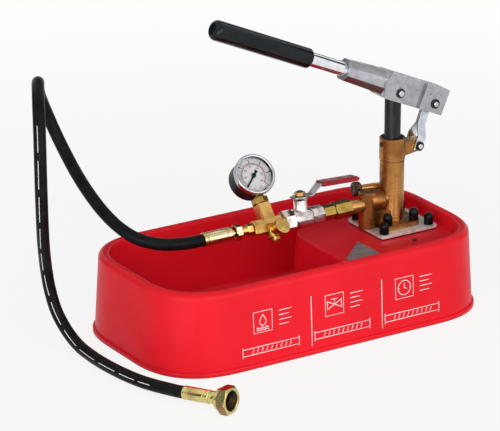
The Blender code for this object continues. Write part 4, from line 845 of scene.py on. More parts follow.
# %% Ink helpers
ink_width = 0.00075
ink_lift = 0.00008
ink_thickness = 0.00006
corners = ((-1, -1), (1, -1), (1, 1), (-1, 1))
mitre_limit = 2
arc_steps = 24


def wall_point(x, z):
    """A point just off the front wall, at a place along it and a height."""
    lean = draft_share * (z - flange_height)
    return Vector((x, -(tub_width / 2 - lean) - ink_lift, z))


def ribbon(shape, points, width, on_surface, closed=False):
    """A flat ribbon along points, with mitred corners, laid on a surface."""
    spots = [Vector(point) for point in points]
    count = len(spots)
    rows = []
    for spot, point in enumerate(spots):
        before = spots[spot - 1] if spot or closed else point * 2 - spots[1]
        after = spots[(spot + 1) % count] if spot < count - 1 or closed else point * 2 - spots[-2]
        one = (point - before).normalized()
        two = (after - point).normalized()
        side = Vector((-(one.y + two.y), one.x + two.x))
        side = side.normalized() if side.length > 0 else Vector((-one.y, one.x))
        lean = side.dot(Vector((-one.y, one.x)))
        across = side * width / 2 / max(1 / mitre_limit, lean)
        rows.append([shape.verts.new(on_surface(*(point + across))),
                     shape.verts.new(on_surface(*(point - across)))])
    pairs = list(zip(rows, rows[1:]))
    if closed:
        pairs.append((rows[-1], rows[0]))
    for one, two in pairs:
        shape.faces.new((one[0], two[0], two[1], one[1]))


def arc(centre, radius, start, stop, steps=arc_steps):
    """Points along an arc, angles in degrees."""
    angles = [radians(start + (stop - start) * step / steps) for step in range(steps + 1)]
    return [(centre[0] + radius * cos(angle), centre[1] + radius * sin(angle))
            for angle in angles]


def ink_piece(name, shape, material, body):
    """Ribbons given the thickness of a coat of ink."""
    bmesh.ops.recalc_face_normals(shape, faces=shape.faces[:])
    made = place_piece(name, shape, material, body=body)
    coat = made.modifiers.new("coat", "SOLIDIFY")
    coat.thickness = ink_thickness
    coat.offset = 0
    return made


print("ink helpers are ready")

# %% Signs as shares of their size
drop_tip_share = 0.9
drop_radius_share = 0.45
drop_arc = (30, -210)
wave_level_shares = (-0.75, -1.0)
wave_depth_share = 0.09
wave_rate = 10
wave_left_share = 0.9
wave_steps = 8
wave_points = 15
dial_share = 0.9
hour_mark_shares = (0.72, 0.84)


def drop_sign():
    """A drop of water over two waves."""
    tip = (0, drop_tip_share)
    strokes = [[tip] + arc((0, 0), drop_radius_share, *drop_arc) + [tip]]
    for level in wave_level_shares:
        strokes.append([(share - wave_left_share,
                         level + wave_depth_share * sin(share * wave_rate))
                        for share in [step / wave_steps for step in range(wave_points)]])
    return strokes


def valve_sign():
    """A valve drawn as two triangles with a handle."""
    return [[(-1, -0.5), (-1, 0.5), (1, -0.5), (1, 0.5), (-1, -0.5)], [(0, 0), (0, 0.7)],
            [(-0.5, 0.7), (0.5, 0.7)]]


def clock_sign():
    """A clock face for the waiting time."""
    strokes = [arc((0, 0), dial_share, 0, 360), [(0, 0.6), (0, 0), (0.4, -0.2)]]
    strokes += [[(far * side, 0) for far in hour_mark_shares] for side in (-1, 1)]
    return strokes


print("signs:", [len(sign()) for sign in (drop_sign, valve_sign, clock_sign)])

# %% Three fields on the wall
field_left = -0.108
field_pitch = 0.0780
field_middle_share = 0.46
sign_box = 0.0125
sign_height = 0.0430
sign_share = 0.62
sign_shift_share = 0.9
box_half_share = 0.80
text_start_share = 0.5
text_stop_share = 1.6
text_short_share = 0.25
text_top_share = 0.7
text_pitch_share = 0.45
pipe_height = 0.0165
pipe_half = 0.0032
pipe_start_share = 0.2
pipe_length_share = 0.78
flange_reach = 0.0052
hatch_pitch_share = 1.5
hatch_reach_share = 0.6
hatch_lean_share = 0.5
divider_low = 0.0080
divider_high = 0.0560
thin_share = 0.7
thick_share = 1.2


def pipe_run(x, z, length):
    """A stretch of pipe with a flange at each end and a hatch on it."""
    strokes = [[(x, z + side * pipe_half), (x + length, z + side * pipe_half)] for side in (-1, 1)]
    strokes += [[(end, z - flange_reach), (end, z + flange_reach)] for end in (x, x + length)]
    steps = int(length / pipe_half / hatch_pitch_share)
    reach_up = pipe_half * hatch_reach_share
    for step in range(2, steps - 1):
        place = x + length * step / steps
        strokes.append([(place, z - reach_up), (place + pipe_half * hatch_lean_share, z + reach_up)])
    return strokes


def make_print():
    """All the drawings on the front wall as one coat of ink."""
    shape = bmesh.new()
    half = sign_box * box_half_share
    for number, sign in enumerate((drop_sign, valve_sign, clock_sign)):
        left = field_left + field_pitch * number
        middle = left + field_pitch * field_middle_share
        sign_x = middle - sign_box * sign_shift_share
        strokes = [[(sign_x + sign_box * sign_share * x, sign_height + sign_box * sign_share * z)
                    for x, z in stroke] for stroke in sign()]
        strokes += pipe_run(left + sign_box * pipe_start_share, pipe_height,
                            field_pitch * pipe_length_share)
        for row in range(4):
            level = sign_height + half * (text_top_share - row * text_pitch_share)
            stop_share = text_stop_share - text_short_share * (row % 2)
            strokes.append([(middle + sign_box * text_start_share, level),
                            (middle + sign_box * stop_share, level)])
        ribbon(shape, [(sign_x + half * x, sign_height + half * z) for x, z in corners],
               ink_width * thin_share, wall_point, closed=True)
        for stroke in strokes:
            ribbon(shape, stroke, ink_width, wall_point)
        if number:
            edge = left - ink_width
            ribbon(shape, [(edge, divider_low), (edge, divider_high)], ink_width * thick_share,
                   wall_point)
    return ink_piece("front_panel_print", shape, printed_white, "tub")


printed = make_print()
print("printed faces:", len(printed.data.polygons))

# %% [markdown]
# ## Deck pieces and caps
# The plate under the pump is bright zinc with broken edges, on a thin dark gasket. Eight black
# acorn caps cover its nuts: six sides at the skirt that melt into a round dome.

# %% Deck pieces
from_cad("base_plate", zinc_plate, 0.0005)
from_cad("base_gasket", gasket_rubber, 0)
from_cad("nameplate", name_plate, fine_ease)
from_cad("deck_screw", dark_steel, 0.0002)
print("deck pieces are finished")

# %% Acorn caps
cap_radius = 0.0048
cap_skirt = 0.0046
cap_skirt_share = 0.86
cap_height = 0.0110
cap_tip_radius = 0.0009
cap_sides = 36
cap_steps = 9
skirt_hex_share = 0.5
dome_hex_share = 0.3
dome_power = 0.8
stud_radius = 0.0019
backing_nut_radius = 0.0040
backing_nut_height = 0.0030


def acorn_shape(seat):
    """A cap whose six sided skirt turns round towards its tip."""
    rows = [(cap_radius, 0, skirt_hex_share),
            (cap_radius, cap_skirt * cap_skirt_share, skirt_hex_share),
            (cap_radius, cap_skirt, dome_hex_share)]
    for step, (sine, cosine) in enumerate(quarter(cap_steps)[:-1], 1):
        rows.append((cap_tip_radius + (cap_radius - cap_tip_radius) * cosine ** dome_power,
                     cap_skirt + (cap_height - cap_skirt) * sine,
                     dome_hex_share * max(0, 1 - step / 4)))
    rows.append((cap_tip_radius, cap_height, 0))
    shape = bmesh.new()
    rings = []
    for radius, height, hexed in rows:
        ring = []
        for side in range(cap_sides):
            angle = tau * side / cap_sides
            flat = cos(half_facet) / cos(angle % (half_facet * 2) - half_facet)
            wide = radius * (1 + (flat - 1) * hexed)
            ring.append(shape.verts.new((wide * cos(angle), wide * sin(angle),
                                         seat + height)))
        rings.append(ring)
    for ring, after in zip(rings, rings[1:]):
        bridge(shape, ring, after)
    shape.faces.new(list(reversed(rings[0])))
    shape.faces.new(rings[-1])
    return shape


def make_cap(node):
    """One cap over its stud, and the stud with its nut below the deck."""
    low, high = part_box(node)
    middle = (low + high) / 2
    at = Matrix.Translation((middle.x, middle.y, 0))
    seat = high.z - cap_height
    shape = acorn_shape(seat)
    shape.transform(at)
    remake(node, shape, black_plastic, round_angle)
    nut_top = low.z + backing_nut_height
    outline = [(0, low.z), (backing_nut_radius, low.z), (backing_nut_radius, nut_top),
               (stud_radius, nut_top), (stud_radius, seat - seat_gap), (0, seat - seat_gap)]
    place_piece(node + "_stud", spun(outline, at, sides=small_sides), dark_steel, body="tub")


for number in range(1, 5):
    make_cap("plate_cap_%d" % number)
    make_cap("foot_cap_%d" % number)
print("caps: 8")

# %% [markdown]
# ## Pump
# The pump body is one bronze casting, machined where it seals: its barrel carries faint lathe
# marks. The rod is blackened steel that slides through a rubber wiper.

# %% Pump body and rod
for node, finish, ease in (("pump_body", bronze, 0.0002), ("chamber_plug", bronze, 0.0002),
                           ("head_set_screw", dark_steel, 0.0002),
                           ("rod_wiper", gasket_rubber, fine_ease),
                           ("piston_seal", gasket_rubber, 0), ("suction_ball", bright_steel, 0),
                           ("delivery_ball", bright_steel, 0), ("suction_pipe", gasket_rubber, 0),
                           ("suction_strainer", brass, 0.0002), ("piston_rod", dark_steel, 0.0003)):
    from_cad(node, finish, ease)
print("pump body and rod are finished")

# %% Ribbed check knob
knob_ribs = 20
rib_depth = 0.00045
rib_sides = 160
wide_share = 0.8
knob_edge_share = 0.14
knob_spindle_share = 0.24
knob_rim_share = 0.86
dimple_rim_share = 0.45
dimple_share = 0.40


def wide_start(node, at, radius):
    """Where the wide part of a knob starts along its axis."""
    return min(spot.z for spot in spots_about(node, at) if off_axis(spot) > radius * wide_share)


def make_check_knob():
    """The knob, in bronze darkened as painted shade: a turned blank whose rim is pressed into ribs.
    """
    low, high, radius = reach("check_knob", check_axis)
    start = wide_start("check_knob", check_axis, radius)
    edge = radius * knob_edge_share
    spindle = radius * knob_spindle_share
    shape = spun([(0, low), (spindle, low), (spindle, start), (radius - edge, start),
                  (radius, start + edge), (radius, high - edge), (radius - edge, high),
                  (radius * dimple_rim_share, high), (radius * dimple_share, high - edge / 2),
                  (0, high - edge / 2)], sides=rib_sides)
    for vert in shape.verts:
        around = off_axis(vert.co)
        if around > radius * knob_rim_share:
            wave = cos(knob_ribs * atan2(vert.co.y, vert.co.x))
            share = 1 - rib_depth / around * (1 - wave) / 2
            vert.co.x *= share
            vert.co.y *= share
    shape.transform(check_axis)
    remake("check_knob", shape, dark_bronze)


make_check_knob()
print("ribs on the check knob:", knob_ribs)

# %% [markdown]
# ## Lever, pins and straps
# The lever head is an aluminium casting with soft edges and a shallow band across each cheek.
# Its steel pins are held by black rings, and two joggled straps tie it to the pump.

# %% Cutting one shape with another


def box_shape(low, high, at):
    """A plain block between two corners of a frame."""
    shape = bmesh.new()
    bmesh.ops.create_cube(shape, size=1)
    size = Vector(high) - Vector(low)
    middle = (Vector(high) + Vector(low)) / 2
    shape.transform(at @ Matrix.Translation(middle) @ Matrix.Diagonal((*size, 1)))
    return shape


def cut(shape, tool, operation="DIFFERENCE"):
    """Cut, join or cross two closed shapes with an exact Boolean."""
    workers = [new_object("in_work", new_mesh("in_work", part)) for part in (shape, tool)]
    change = workers[0].modifiers.new("cut", "BOOLEAN")
    change.operation = operation
    change.solver = "EXACT"
    change.object = workers[1]
    bpy.context.view_layer.update()
    solved = workers[0].evaluated_get(bpy.context.evaluated_depsgraph_get())
    result = bmesh.new()
    result.from_mesh(solved.to_mesh())
    for worker in workers:
        bpy.data.objects.remove(worker)
    if not result.faces:
        print("EMPTY after a Boolean")
    return result


print("the cutter is ready")

# %% Lever head
lever_angle = radians(23.7)
handle_rise = 0.0049
cheek_half_width = 0.0125
band_start = 0.0228
band_end = 0.0272
band_depth = 0.0005
cast_ease = 0.0005
lever_axis = Matrix.Translation((pump_x, 0, lever_pin_z)) @ Matrix.Rotation(lever_angle, 4, "Y")
handle_axis = (lever_axis @ Matrix.Translation((0, 0, handle_rise))
               @ Matrix.Rotation(-quarter_turn, 4, "Y"))


def make_lever_head():
    """The casting with a shallow band across each cheek, whose faces carry painted shade."""
    shape = clean_cad("lever_head")
    wide = cheek_half_width * 2
    near = cheek_half_width - band_depth
    for low, high in ((-wide, -near), (near, wide)):
        tool = box_shape((band_start, low, -wide), (band_end, high, wide), lever_axis)
        shape = cut(shape, tool)
    piece = remake("lever_head", shape, cast_aluminium)
    piece.data.materials.append(cast_shadow)
    back = lever_axis.inverted()
    # The band's faces take the darker copy: painted shade in the recess.
    for face in piece.data.polygons:
        spot = back @ face.center
        if band_start < spot.x < band_end and abs(spot.y) > near - band_depth / 2:
            face.material_index = 1
    ease_edges(piece, cast_ease, 3)


make_lever_head()
print("lever head is finished")

# %% Cylinder head
groove_bottom = 0.1335
groove_top = 0.1343
groove_radius = 0.0113
groove_outside = 0.0150
cut_ease = 0.00002


def make_cylinder_head():
    """The head with a groove at its foot, where it meets the barrel."""
    tool = spun(band(groove_radius, groove_outside, groove_bottom, groove_top), pump_axis,
                cut_ease)
    shape = cut(clean_cad("cylinder_head"), tool)
    ease_edges(remake("cylinder_head", shape, bronze))


make_cylinder_head()
print("cylinder head is finished")

# %% Handle tube and grip
tube_wall = 0.0012
grip_round = 0.0050
grip_mouth = 0.0006
grip_steps = 9


def make_handle():
    """The chrome tube and the dipped grip with its round end."""
    low, tube_end, radius = reach("handle_tube", handle_axis)
    tube = spun(band(radius - tube_wall, radius, low, tube_end), handle_axis)
    remake("handle_tube", tube, chrome)
    inner = radius + seat_gap
    low, high, radius = reach("handle_grip", handle_axis)
    shoulder = radius - grip_round
    outline = [(0, tube_end + seat_gap), (inner, tube_end + seat_gap), (inner, low),
               (radius - grip_mouth, low), (radius, low + grip_mouth * 2),
               (radius, high - grip_round)]
    outline += [(shoulder + grip_round * cosine, high - grip_round + grip_round * sine)
                for sine, cosine in quarter(grip_steps)[:-1]]
    outline += [(shoulder, high), (0, high)]
    remake("handle_grip", spun(outline, handle_axis, sides=smooth_sides), grip_black, round_angle)


make_handle()
print("handle is finished")

# %% Pins with their rings, and straps
pin_ease = 0.00015
pin_edge_share = 0.16
shank_share = 0.8
clip_radius = 0.0046
clip_thickness = 0.0008
clip_inset = 0.0016
clip_gap = 0.00005
clip_ease = 0.0002
clip_sides = 48
strap_ease = 0.0004


def make_pin(node, at, ends):
    """A bright pin with a broken edge, and a black ring near each free end."""
    low, high, _ = reach(node, at)
    shank = [off_axis(spot) for spot in spots_about(node, at) if spot.z < (low + high) / 2]
    radius = max(wide for wide in shank if wide < clip_radius * shank_share)
    edge = radius * pin_edge_share
    outline = [(0, low), (radius - edge, low), (radius, low + edge), (radius, high - edge),
               (radius - edge, high), (0, high)]
    remake(node, spun(outline, at, pin_ease), bright_steel)
    for end, side, outer in (("far", -1, low), ("near", 1, high)):
        if end in ends:
            outer -= side * clip_inset
            start, stop = sorted((outer, outer - side * clip_thickness))
            ring = spun(band(radius + clip_gap, clip_radius, start, stop), at, clip_ease,
                        clip_sides)
            place_piece("%s_ring_%s" % (node, end), ring, dark_steel,
                        body=cad[node]["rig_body"])


stud_low, stud_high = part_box("link_stud_near")
stud_middle = (stud_low + stud_high) / 2
make_pin("lug_pin", joint_axis("link_pivot") @ Matrix.Rotation(pi, 4, "X"), ("far", "near"))
make_pin("rod_pin", axis_frame((pump_x, 0, lever_pin_z), (0, -1, 0)), ("far", "near"))
make_pin("link_stud_near", axis_frame((stud_middle.x, 0, stud_middle.z), (0, -1, 0)), ("near",))
make_pin("link_stud_far", axis_frame((stud_middle.x, 0, stud_middle.z), (0, 1, 0)), ("near",))
from_cad("link_strap_near", bright_steel, strap_ease, 3)
from_cad("link_strap_far", bright_steel, strap_ease, 3)
print("pins and straps are finished")

# %% [markdown]
# ## Brass line
# Hexagon bar is chamfered in a lathe, so the chamfer is a cone and each flat ends in a shallow
# arc. The nuts are made in the same way: a six sided bar is crossed with a turned blank.

# %% Nuts and adapters
line_bore_radius = 0.0026
lever_nut_bore_radius = 0.0031
swivel_bore_radius = 0.0050
face_share = 0.985
bar_overrun = 0.001
cone_slope = tan(radians(30))
nut_ease = 0.00018
bore_sides = 32


def bar_shape(low, high, corner, turn):
    """A plain bar with six flat sides."""
    angles = [turn + tau * side / hexagon_sides for side in range(hexagon_sides)]
    shape = bmesh.new()
    rows = [[shape.verts.new((corner * cos(angle), corner * sin(angle), height))
             for angle in angles] for height in (low, high)]
    bridge(shape, rows[0], rows[1])
    shape.faces.new(list(reversed(rows[0])))
    shape.faces.new(rows[1])
    return shape


def nut_shape(low, high, corner, turn, bore):
    """A chamfered nut or adapter with its bore."""
    flat = corner * cos(half_facet) * face_share
    fall = (corner - flat) * cone_slope + bar_overrun * cone_slope
    wide = corner + bar_overrun
    blank = spun([(0, low), (flat, low), (wide, low + fall), (wide, high - fall), (flat, high),
                  (0, high)], ease=cut_ease, sides=smooth_sides)
    shape = cut(bar_shape(low - bar_overrun, high + bar_overrun, corner, turn), blank, "INTERSECT")
    if bore:
        hole = band(0, bore, low - bore, high + bore)
        shape = cut(shape, spun(hole, ease=cut_ease, sides=bore_sides))
    return shape


def make_nut(node, at, material, bore=line_bore_radius):
    """A nut in the place, size and turn of its CAD solid."""
    low, high, corner = reach(node, at)
    far = max(spots_about(node, at), key=off_axis)
    shape = nut_shape(low, high, corner, atan2(far.y, far.x), bore)
    shape.transform(at)
    ease_edges(remake(node, shape, material), nut_ease)


make_nut("adapter_large", line_axis, brass_line)
make_nut("adapter_small", line_axis, brass_line)
make_nut("valve_end", line_axis, nickel)
make_nut("lever_nut", stem_axis, brass, lever_nut_bore_radius)
make_nut("swivel_nut", line_axis, plated_brass, swivel_bore_radius)
print("nuts are finished")

# %% Line and valve
cast_valve_ease = 0.0004
sleeve_ease = 0.0014
for node, finish in (("outlet_spigot", bronze_outlet), ("manifold_block", brass),
                     ("gauge_socket", brass_line), ("hose_nipple", brass),
                     ("release_bonnet", brass)):
    from_cad(node, finish)
from_cad("valve_body", nickel, cast_valve_ease)
from_cad("valve_ball", chrome, fine_ease)
from_cad("valve_stem", dark_steel)
from_cad("valve_lever", lever_steel, cast_valve_ease)
from_cad("lever_sleeve", red_sleeve, sleeve_ease, 4)
print("brass line and valve are finished")

# %% Release knob
release_spindle_radius = 0.0025
release_edge_share = 0.05
release_groove_share = 0.07
groove_depth_share = 0.4
groove_place_shares = (0.62, 0.34)


def make_release_knob():
    """The turned knob with two grooves on its face."""
    low, high, radius = reach("release_knob", release_axis)
    start = wide_start("release_knob", release_axis, radius)
    groove = radius * release_groove_share
    edge = radius * release_edge_share
    outline = [(0, low), (release_spindle_radius, low), (release_spindle_radius, start),
               (radius - edge, start), (radius, start + edge), (radius, high - edge),
               (radius - edge, high)]
    for share in groove_place_shares:
        outline += [(radius * share + groove, high),
                    (radius * share, high - groove * groove_depth_share),
                    (radius * share - groove, high)]
    outline.append((0, high))
    remake("release_knob", spun(outline, release_axis, sides=smooth_sides), brass_knob)


make_release_knob()
print("release knob is finished")

# %% [markdown]
# ## Hose fittings
# A ferrule is pressed onto the hose in a set of jaws, which leave a pair of shallow grooves near
# its ends. The union nut on the free end shows the thread in its mouth.

# %% Ferrules
tail_radius = 0.0038
tail_bore_radius = 0.0022
press_depth = 0.00016
press_width = 0.0016
press_inset_share = 0.16
press_ease = 0.0002
ferrule_right = -0.0605
ferrule_radius = 0.0066
end_ferrule_length = 0.0280
end_ferrule_radius = 0.0064
end_groove_radius = 0.0056
end_groove_width = 0.0012
end_ring_radius = 0.0061
end_ring_length = 0.0062
end_collar_radius = 0.0050
end_nut_half_length = 0.00725
end_nut_shoulder = 0.0020
end_tail_flange_radius = 0.0080
end_tail_flange = 0.0016
run_gap = 0.0004
end_fitting = Matrix.Translation(end_nut_place) @ end_axis.to_3x3().to_4x4()


def pressed(start, stop, radius):
    """Outline points of a ferrule's outside with two shallow pressed grooves."""
    edge = press_depth * 3
    points = [(radius - edge, start), (radius, start + edge)]
    inset = (stop - start) * press_inset_share
    for middle in (start + inset, stop - inset):
        points += [(radius, middle - press_width), (radius - press_depth, middle - press_width / 2),
                   (radius - press_depth, middle + press_width / 2), (radius, middle + press_width)]
    return points + [(radius, stop - edge), (radius - edge, stop)]


def make_ferrule():
    """The ferrule on the line, with its tail in the swivel nut."""
    low, high, _ = reach("hose_ferrule", line_axis)
    outline = [(tail_bore_radius, low)] + pressed(low, ferrule_right, ferrule_radius)
    outline += [(tail_radius, ferrule_right), (tail_radius, high), (tail_bore_radius, high)]
    remake("hose_ferrule", spun(outline, line_axis, press_ease), plated_brass)


def make_end_ferrule():
    """The ferrule on the free end: pressed sleeve, groove, ring, collar and sealing flange."""
    start = -end_ferrule_start
    crimp_end = start + end_ferrule_length
    ring_start = crimp_end + end_groove_width
    ring_end = ring_start + end_ring_length
    flange_low = -end_nut_half_length + end_nut_shoulder + run_gap
    flange_high = flange_low + end_tail_flange
    outline = [(tail_bore_radius, start)] + pressed(start, crimp_end, end_ferrule_radius)
    outline += [(end_groove_radius, crimp_end), (end_groove_radius, ring_start),
                (end_ring_radius, ring_start), (end_ring_radius, ring_end),
                (end_collar_radius, ring_end), (end_collar_radius, flange_low),
                (end_tail_flange_radius, flange_low), (end_tail_flange_radius, flange_high),
                (tail_bore_radius, flange_high)]
    remake("hose_end_ferrule", spun(outline, end_fitting, press_ease), plated_end)


make_ferrule()
make_end_ferrule()
print("ferrules are finished")

# %% Union nut
end_nut_round_length = 0.0052
end_nut_round_radius = 0.0099
end_nut_round_edge = 0.0010
end_nut_flats = 0.0240
end_nut_bore_radius = 0.0094
end_nut_overrun = 0.0020
thread_pitch = 0.0018
thread_depth = 0.0008
thread_ease = 0.00005
facet_lean = 0.1


def thread_tool(back, front):
    """What the bore and its thread take out of the union nut."""
    hole = end_collar_radius + run_gap
    mouth = end_nut_bore_radius + thread_depth / 2
    seat = back + end_nut_shoulder
    outline = [(0, back - end_nut_overrun), (hole, back - end_nut_overrun), (hole, seat),
               (end_nut_bore_radius, seat)]
    height = seat + end_tail_flange + run_gap * 4
    while height < front - thread_pitch:
        outline += [(end_nut_bore_radius, height),
                    (end_nut_bore_radius - thread_depth, height + thread_pitch / 2)]
        height += thread_pitch
    outline += [(end_nut_bore_radius, height), (mouth, front), (mouth, front + end_nut_overrun),
                (0, front + end_nut_overrun)]
    return spun(outline, ease=thread_ease)


def make_union_nut():
    """The union nut: six flats, every other one browned as painted shade, a round back, and a thread
    inside its mouth, darkened as painted shade.
    """
    back = -end_nut_half_length
    front = end_nut_half_length
    shoulder = back + end_nut_round_length
    into = shoulder + end_nut_round_edge
    mouth = end_nut_bore_radius + thread_depth / 2
    shape = nut_shape(shoulder, front, end_nut_flats / 2 / cos(half_facet), half_facet, 0)
    collar = spun([(0, back), (end_nut_round_radius - end_nut_round_edge, back),
                   (end_nut_round_radius, back + end_nut_round_edge),
                   (end_nut_round_radius, into), (0, into)])
    shape = cut(cut(shape, collar, "UNION"), thread_tool(back, front))
    shape.transform(end_fitting)
    piece = remake("hose_end_nut", shape, plated_end)
    # Faces inside the bore take the near-black copy: painted shade inside the mouth.
    piece.data.materials.append(thread_dark)
    # Every other flat takes the browned copy: painted shade on the hex.
    piece.data.materials.append(plated_brown)
    inward = end_fitting.inverted()
    for face in piece.data.polygons:
        spot = inward @ face.center
        facing = (inward.to_3x3() @ face.normal).normalized()
        if off_axis(spot) < mouth and spot.z < front - thread_pitch / 4:
            face.material_index = 1
        elif spot.z > shoulder and abs(facing.z) < facet_lean:
            facet = round(atan2(facing.y, facing.x) / half_facet / 2)
            face.material_index = 0 if facet % 2 else 2
    ease_edges(piece)


make_union_nut()
print("union nut is finished")

# %% [markdown]
# ## Gauge
# The gauge is a 40 mm dial gauge: a black case, a bright bezel that holds the lens, a white dial
# with a red and black scale, and a black pointer that stands past the zero mark.

# %% Case, bezel, lens and pointer
case_ease = 0.0005
bezel_lip = 0.0012
bezel_slope_share = 0.7
bezel_inner = 0.0172
bezel_ease = 0.0004
from_cad("gauge_case", case_black, case_ease)
from_cad("gauge_dial", dial_white, 0)
from_cad("gauge_pointer", black_plastic, fine_ease)
from_cad("bourdon_tube", brass, 0)
dial_low, dial_high, _ = reach("gauge_dial", gauge_axis)


def make_gauge_front():
    """The turned bezel with its bead, and the lens behind it."""
    low, front, radius = reach("gauge_bezel", gauge_axis)
    lens_low, lens_high, lens_radius = reach("gauge_lens", gauge_axis)
    seat = reach("gauge_case", gauge_axis)[2] + seat_gap
    step = lens_radius + seat_gap
    levels = [(seat, low), (radius, low), (radius, front - bezel_lip),
              (radius - bezel_lip * bezel_slope_share, front), (bezel_inner + bezel_lip / 2, front),
              (bezel_inner, front - bezel_lip / 2), (bezel_inner, lens_high + seat_gap),
              (step, lens_high + seat_gap), (step, lens_low), (seat, lens_low)]
    remake("gauge_bezel", spun(levels, gauge_axis, bezel_ease, smooth_sides), bezel_metal)
    lens = spun(band(0, lens_radius, lens_low, lens_high), gauge_axis, fine_ease, smooth_sides)
    remake("gauge_lens", lens, clear_lens)


make_gauge_front()
print("dial between", round(dial_low, 4), "and", round(dial_high, 4))

# %% [markdown]
# The dial is printed: a red ring with fine ticks, seven long black ticks, and plain numbers. The
# print is made of the same thin ribbons as the drawings on the tub.

# %% Dial print
dial_start = 225
dial_sweep = 270
dial_divisions = 6
ticks_per_division = 8
scale_radius = 0.0112
tick_long = 0.0158
tick_short = 0.0129
number_radius = 0.0088
number_size = 0.0032
number_step = 10
ring_steps = 60
dial_line = 0.00036
long_tick_share = 1.8
zero_arc = (265, 300)
zero_arc_steps = 12
zero_arc_share = 1.5


def dial_point(x, y):
    """A point just off the dial's face."""
    return gauge_axis @ Vector((x, y, dial_high + ink_lift))


def on_dial(share, radius):
    """A point of the scale: a share of full scale, 0 at zero and 1 at full, and a radius."""
    angle = radians(dial_start - dial_sweep * share)
    return radius * cos(angle), radius * sin(angle)


def add_number(shape, text, place):
    """A plain number, turned from a font outline into faces on the dial."""
    letters = bpy.data.curves.new("dial_number", "FONT")
    letters.body = text
    letters.size = number_size
    letters.align_x = "CENTER"
    letters.align_y = "CENTER"
    holder = new_object("dial_number", letters)
    bpy.context.view_layer.update()
    solved = holder.evaluated_get(bpy.context.evaluated_depsgraph_get())
    mesh = bpy.data.meshes.new_from_object(solved)
    mesh.transform(gauge_axis @ Matrix.Translation((*place, dial_high + ink_lift)))
    shape.from_mesh(mesh)
    bpy.data.objects.remove(holder)
    bpy.data.meshes.remove(mesh)


def make_dial_print():
    """The red scale with its numbers, and the black ticks."""
    red, black = bmesh.new(), bmesh.new()
    ribbon(red, arc((0, 0), scale_radius, dial_start, dial_start - dial_sweep, ring_steps), dial_line,
           dial_point)
    count = dial_divisions * ticks_per_division
    for number in range(count + 1):
        ends = [on_dial(number / count, radius) for radius in (scale_radius - dial_line, tick_short)]
        ribbon(black if number % 2 else red, ends, dial_line, dial_point)
    for number in range(dial_divisions + 1):
        share = number / dial_divisions
        ends = [on_dial(share, radius) for radius in (tick_short, tick_long)]
        ribbon(black, ends, dial_line * long_tick_share, dial_point)
        add_number(red, str(number * number_step), on_dial(share, number_radius))
    ribbon(black, arc((0, 0), tick_long, *zero_arc, zero_arc_steps), dial_line * zero_arc_share,
           dial_point)
    ink_piece("dial_print_red", red, dial_red, "tub")
    ink_piece("dial_print_black", black, dial_black, "tub")


make_dial_print()
print("dial print is on the dial")

# %% Dial screws and stop pin
dot_radius = 0.0006
screw_share = 1.3
screw_rim_share = 0.7
screw_top_share = 0.8
screw_places = ((-0.0038, -0.0126), (0.0034, -0.0122))
stop_pin_place = (0.0164, 0.0004)
for number, place in enumerate(screw_places, 1):
    at = gauge_axis @ Matrix.Translation((*place, dial_high))
    head = spun([(0, 0), (dot_radius * screw_share, 0), (dot_radius, dot_radius * screw_rim_share),
                 (0, dot_radius * screw_top_share)], at, fine_ease, small_sides)
    place_piece("dial_screw_%d" % number, head, brass, body="tub")
at = gauge_axis @ Matrix.Translation((*stop_pin_place, dial_high))
pin = spun(band(0, dot_radius, 0, dot_radius * 2), at, fine_ease, small_sides)
place_piece("dial_stop_pin", pin, black_plastic, body="tub")
print("dial screws:", len(screw_places))

# %% [markdown]
# ## Studio
# A pale floor with a soft shadow, one large soft lamp at the front, one at the left, and an even
# surround. The floor and the surround are white for the camera, for reflections and through
# glass, and pale for the light that they throw back. Four dark cards stand round the pump, where
# only reflections see them.

# %% Floor and surround
floor_half = 6.0
floor_drop = 0.0003
floor_tone = (0.88, 0.88, 0.88, 1.0)
ambient_strength = 0.40
glow_near_share = 0.85
glow_far_share = 1.0
glow_near_radius = 0.40
glow_far_radius = 1.10


def seen_directly(tree):
    """1 for camera, mirror and glass rays, and 0 for soft light."""
    path = add_node(tree, "LightPath")
    total = path.outputs["Is Camera Ray"]
    for name in ("Is Glossy Ray", "Is Transmission Ray"):
        total = add_node(tree, "Math", {0: total, 1: path.outputs[name]},
                         operation="ADD", use_clamp=True).outputs[0]
    return total


def make_floor_finish():
    """Matt for soft light, and a glow where it is seen, fainter in the pump's shadow."""
    finish = bpy.data.materials.new("floor_white")
    finish.use_nodes = True
    tree = finish.node_tree
    tree.nodes.clear()
    matt = add_node(tree, "BsdfDiffuse", {"Color": floor_tone})
    glow = add_node(tree, "Emission", {"Strength": 1.0})
    place = add_node(tree, "NewGeometry").outputs["Position"]
    away = add_node(tree, "VectorMath", {0: place}, operation="LENGTH").outputs["Value"]
    glow_share = add_node(tree, "MapRange",
                          {"Value": away, "From Min": glow_near_radius,
                           "From Max": glow_far_radius, "To Min": glow_near_share,
                           "To Max": glow_far_share}).outputs["Result"]
    share = add_node(tree, "Math", {0: seen_directly(tree), 1: glow_share},
                     operation="MULTIPLY").outputs[0]
    mixed = add_node(tree, "MixShader", {0: share, 1: matt.outputs[0],
                                                   2: glow.outputs[0]})
    result = add_node(tree, "OutputMaterial")
    tree.links.new(mixed.outputs[0], result.inputs["Surface"])
    return finish


def make_floor():
    """A wide pale floor that keeps the pump's shadow."""
    shape = bmesh.new()
    shape.faces.new([shape.verts.new((x * floor_half, y * floor_half, -floor_drop))
                     for x, y in corners])
    floor = new_object("floor", new_mesh("floor", shape))
    floor.data.materials.append(make_floor_finish())


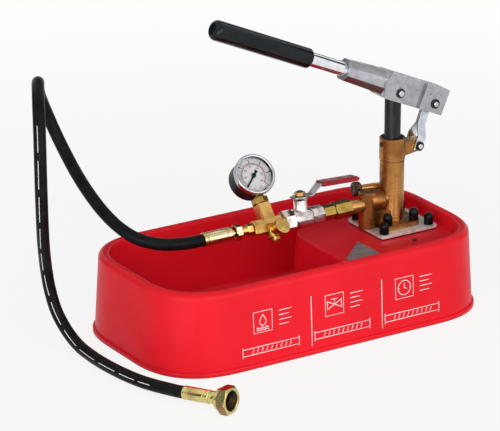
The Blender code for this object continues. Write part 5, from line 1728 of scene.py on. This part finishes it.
def make_surround():
    """The studio round the pump."""
    world = bpy.data.worlds.new("surround")
    bpy.context.scene.world = world
    world.use_nodes = True
    tree = world.node_tree
    tree.nodes.clear()
    strength = add_node(tree, "MapRange",
                        {"Value": seen_directly(tree), "To Min": ambient_strength, "To Max": 1.0})
    light = add_node(tree, "Background", {"Color": (1.0, 1.0, 1.0, 1.0),
                                                    "Strength": strength.outputs["Result"]})
    result = add_node(tree, "OutputWorld")
    tree.links.new(light.outputs[0], result.inputs["Surface"])


make_floor()
make_surround()
print("floor and surround are ready")

# %% Lamps and dark cards
lamp_aim = Vector((0.0, 0.0, 0.10))
card_thickness = 0.004
card_tone = (0.02, 0.02, 0.02, 1.0)


def facing_aim(direction, distance):
    """A place at a distance from the pump whose Z points away from it."""
    away = Vector(direction).normalized()
    return (Matrix.Translation(lamp_aim + away * distance)
            @ away.to_track_quat("Z", "Y").to_matrix().to_4x4())


def make_lamp(name, direction, distance, size, watts):
    """A soft square lamp that looks at the pump."""
    light = bpy.data.lights.new(name, "AREA")
    light.energy = watts
    light.size = size
    new_object(name, light).matrix_world = facing_aim(direction, distance)


def make_card(name, direction, distance, width, height):
    """A dark card that only reflections see, so that bright metal shows its shape."""
    shape = box_shape((-width / 2, -height / 2, 0), (width / 2, height / 2, card_thickness),
                      facing_aim(direction, distance))
    card = new_object(name, new_mesh(name, shape))
    finish = bpy.data.materials.new(name)
    finish.use_nodes = True
    finish.node_tree.nodes["Principled BSDF"].inputs["Base Color"].default_value = card_tone
    card.data.materials.append(finish)
    card.visible_camera = False
    card.visible_diffuse = False
    card.visible_shadow = False
    card.visible_transmission = False


make_lamp("key_lamp", (0.10, -1.00, 0.20), distance=1.8, size=1.7, watts=20.0)
make_lamp("left_lamp", (-0.90, -0.60, 0.12), distance=1.8, size=1.3, watts=19.0)
make_card("flag_left", (-0.46, 0.89, 0.10), distance=1.5, width=0.8, height=1.4)
make_card("flag_middle", (-1.00, 0.04, 0.10), distance=1.4, width=0.30, height=1.4)
make_card("flag_right", (1.00, -0.04, 0.10), distance=1.4, width=0.6, height=1.4)
make_card("flag_back", (0.50, 0.79, 0.42), distance=1.6, width=1.5, height=0.9)
print("lamps: 2, cards: 4")

# %% View settings
bpy.context.scene.view_settings.view_transform = "Standard"
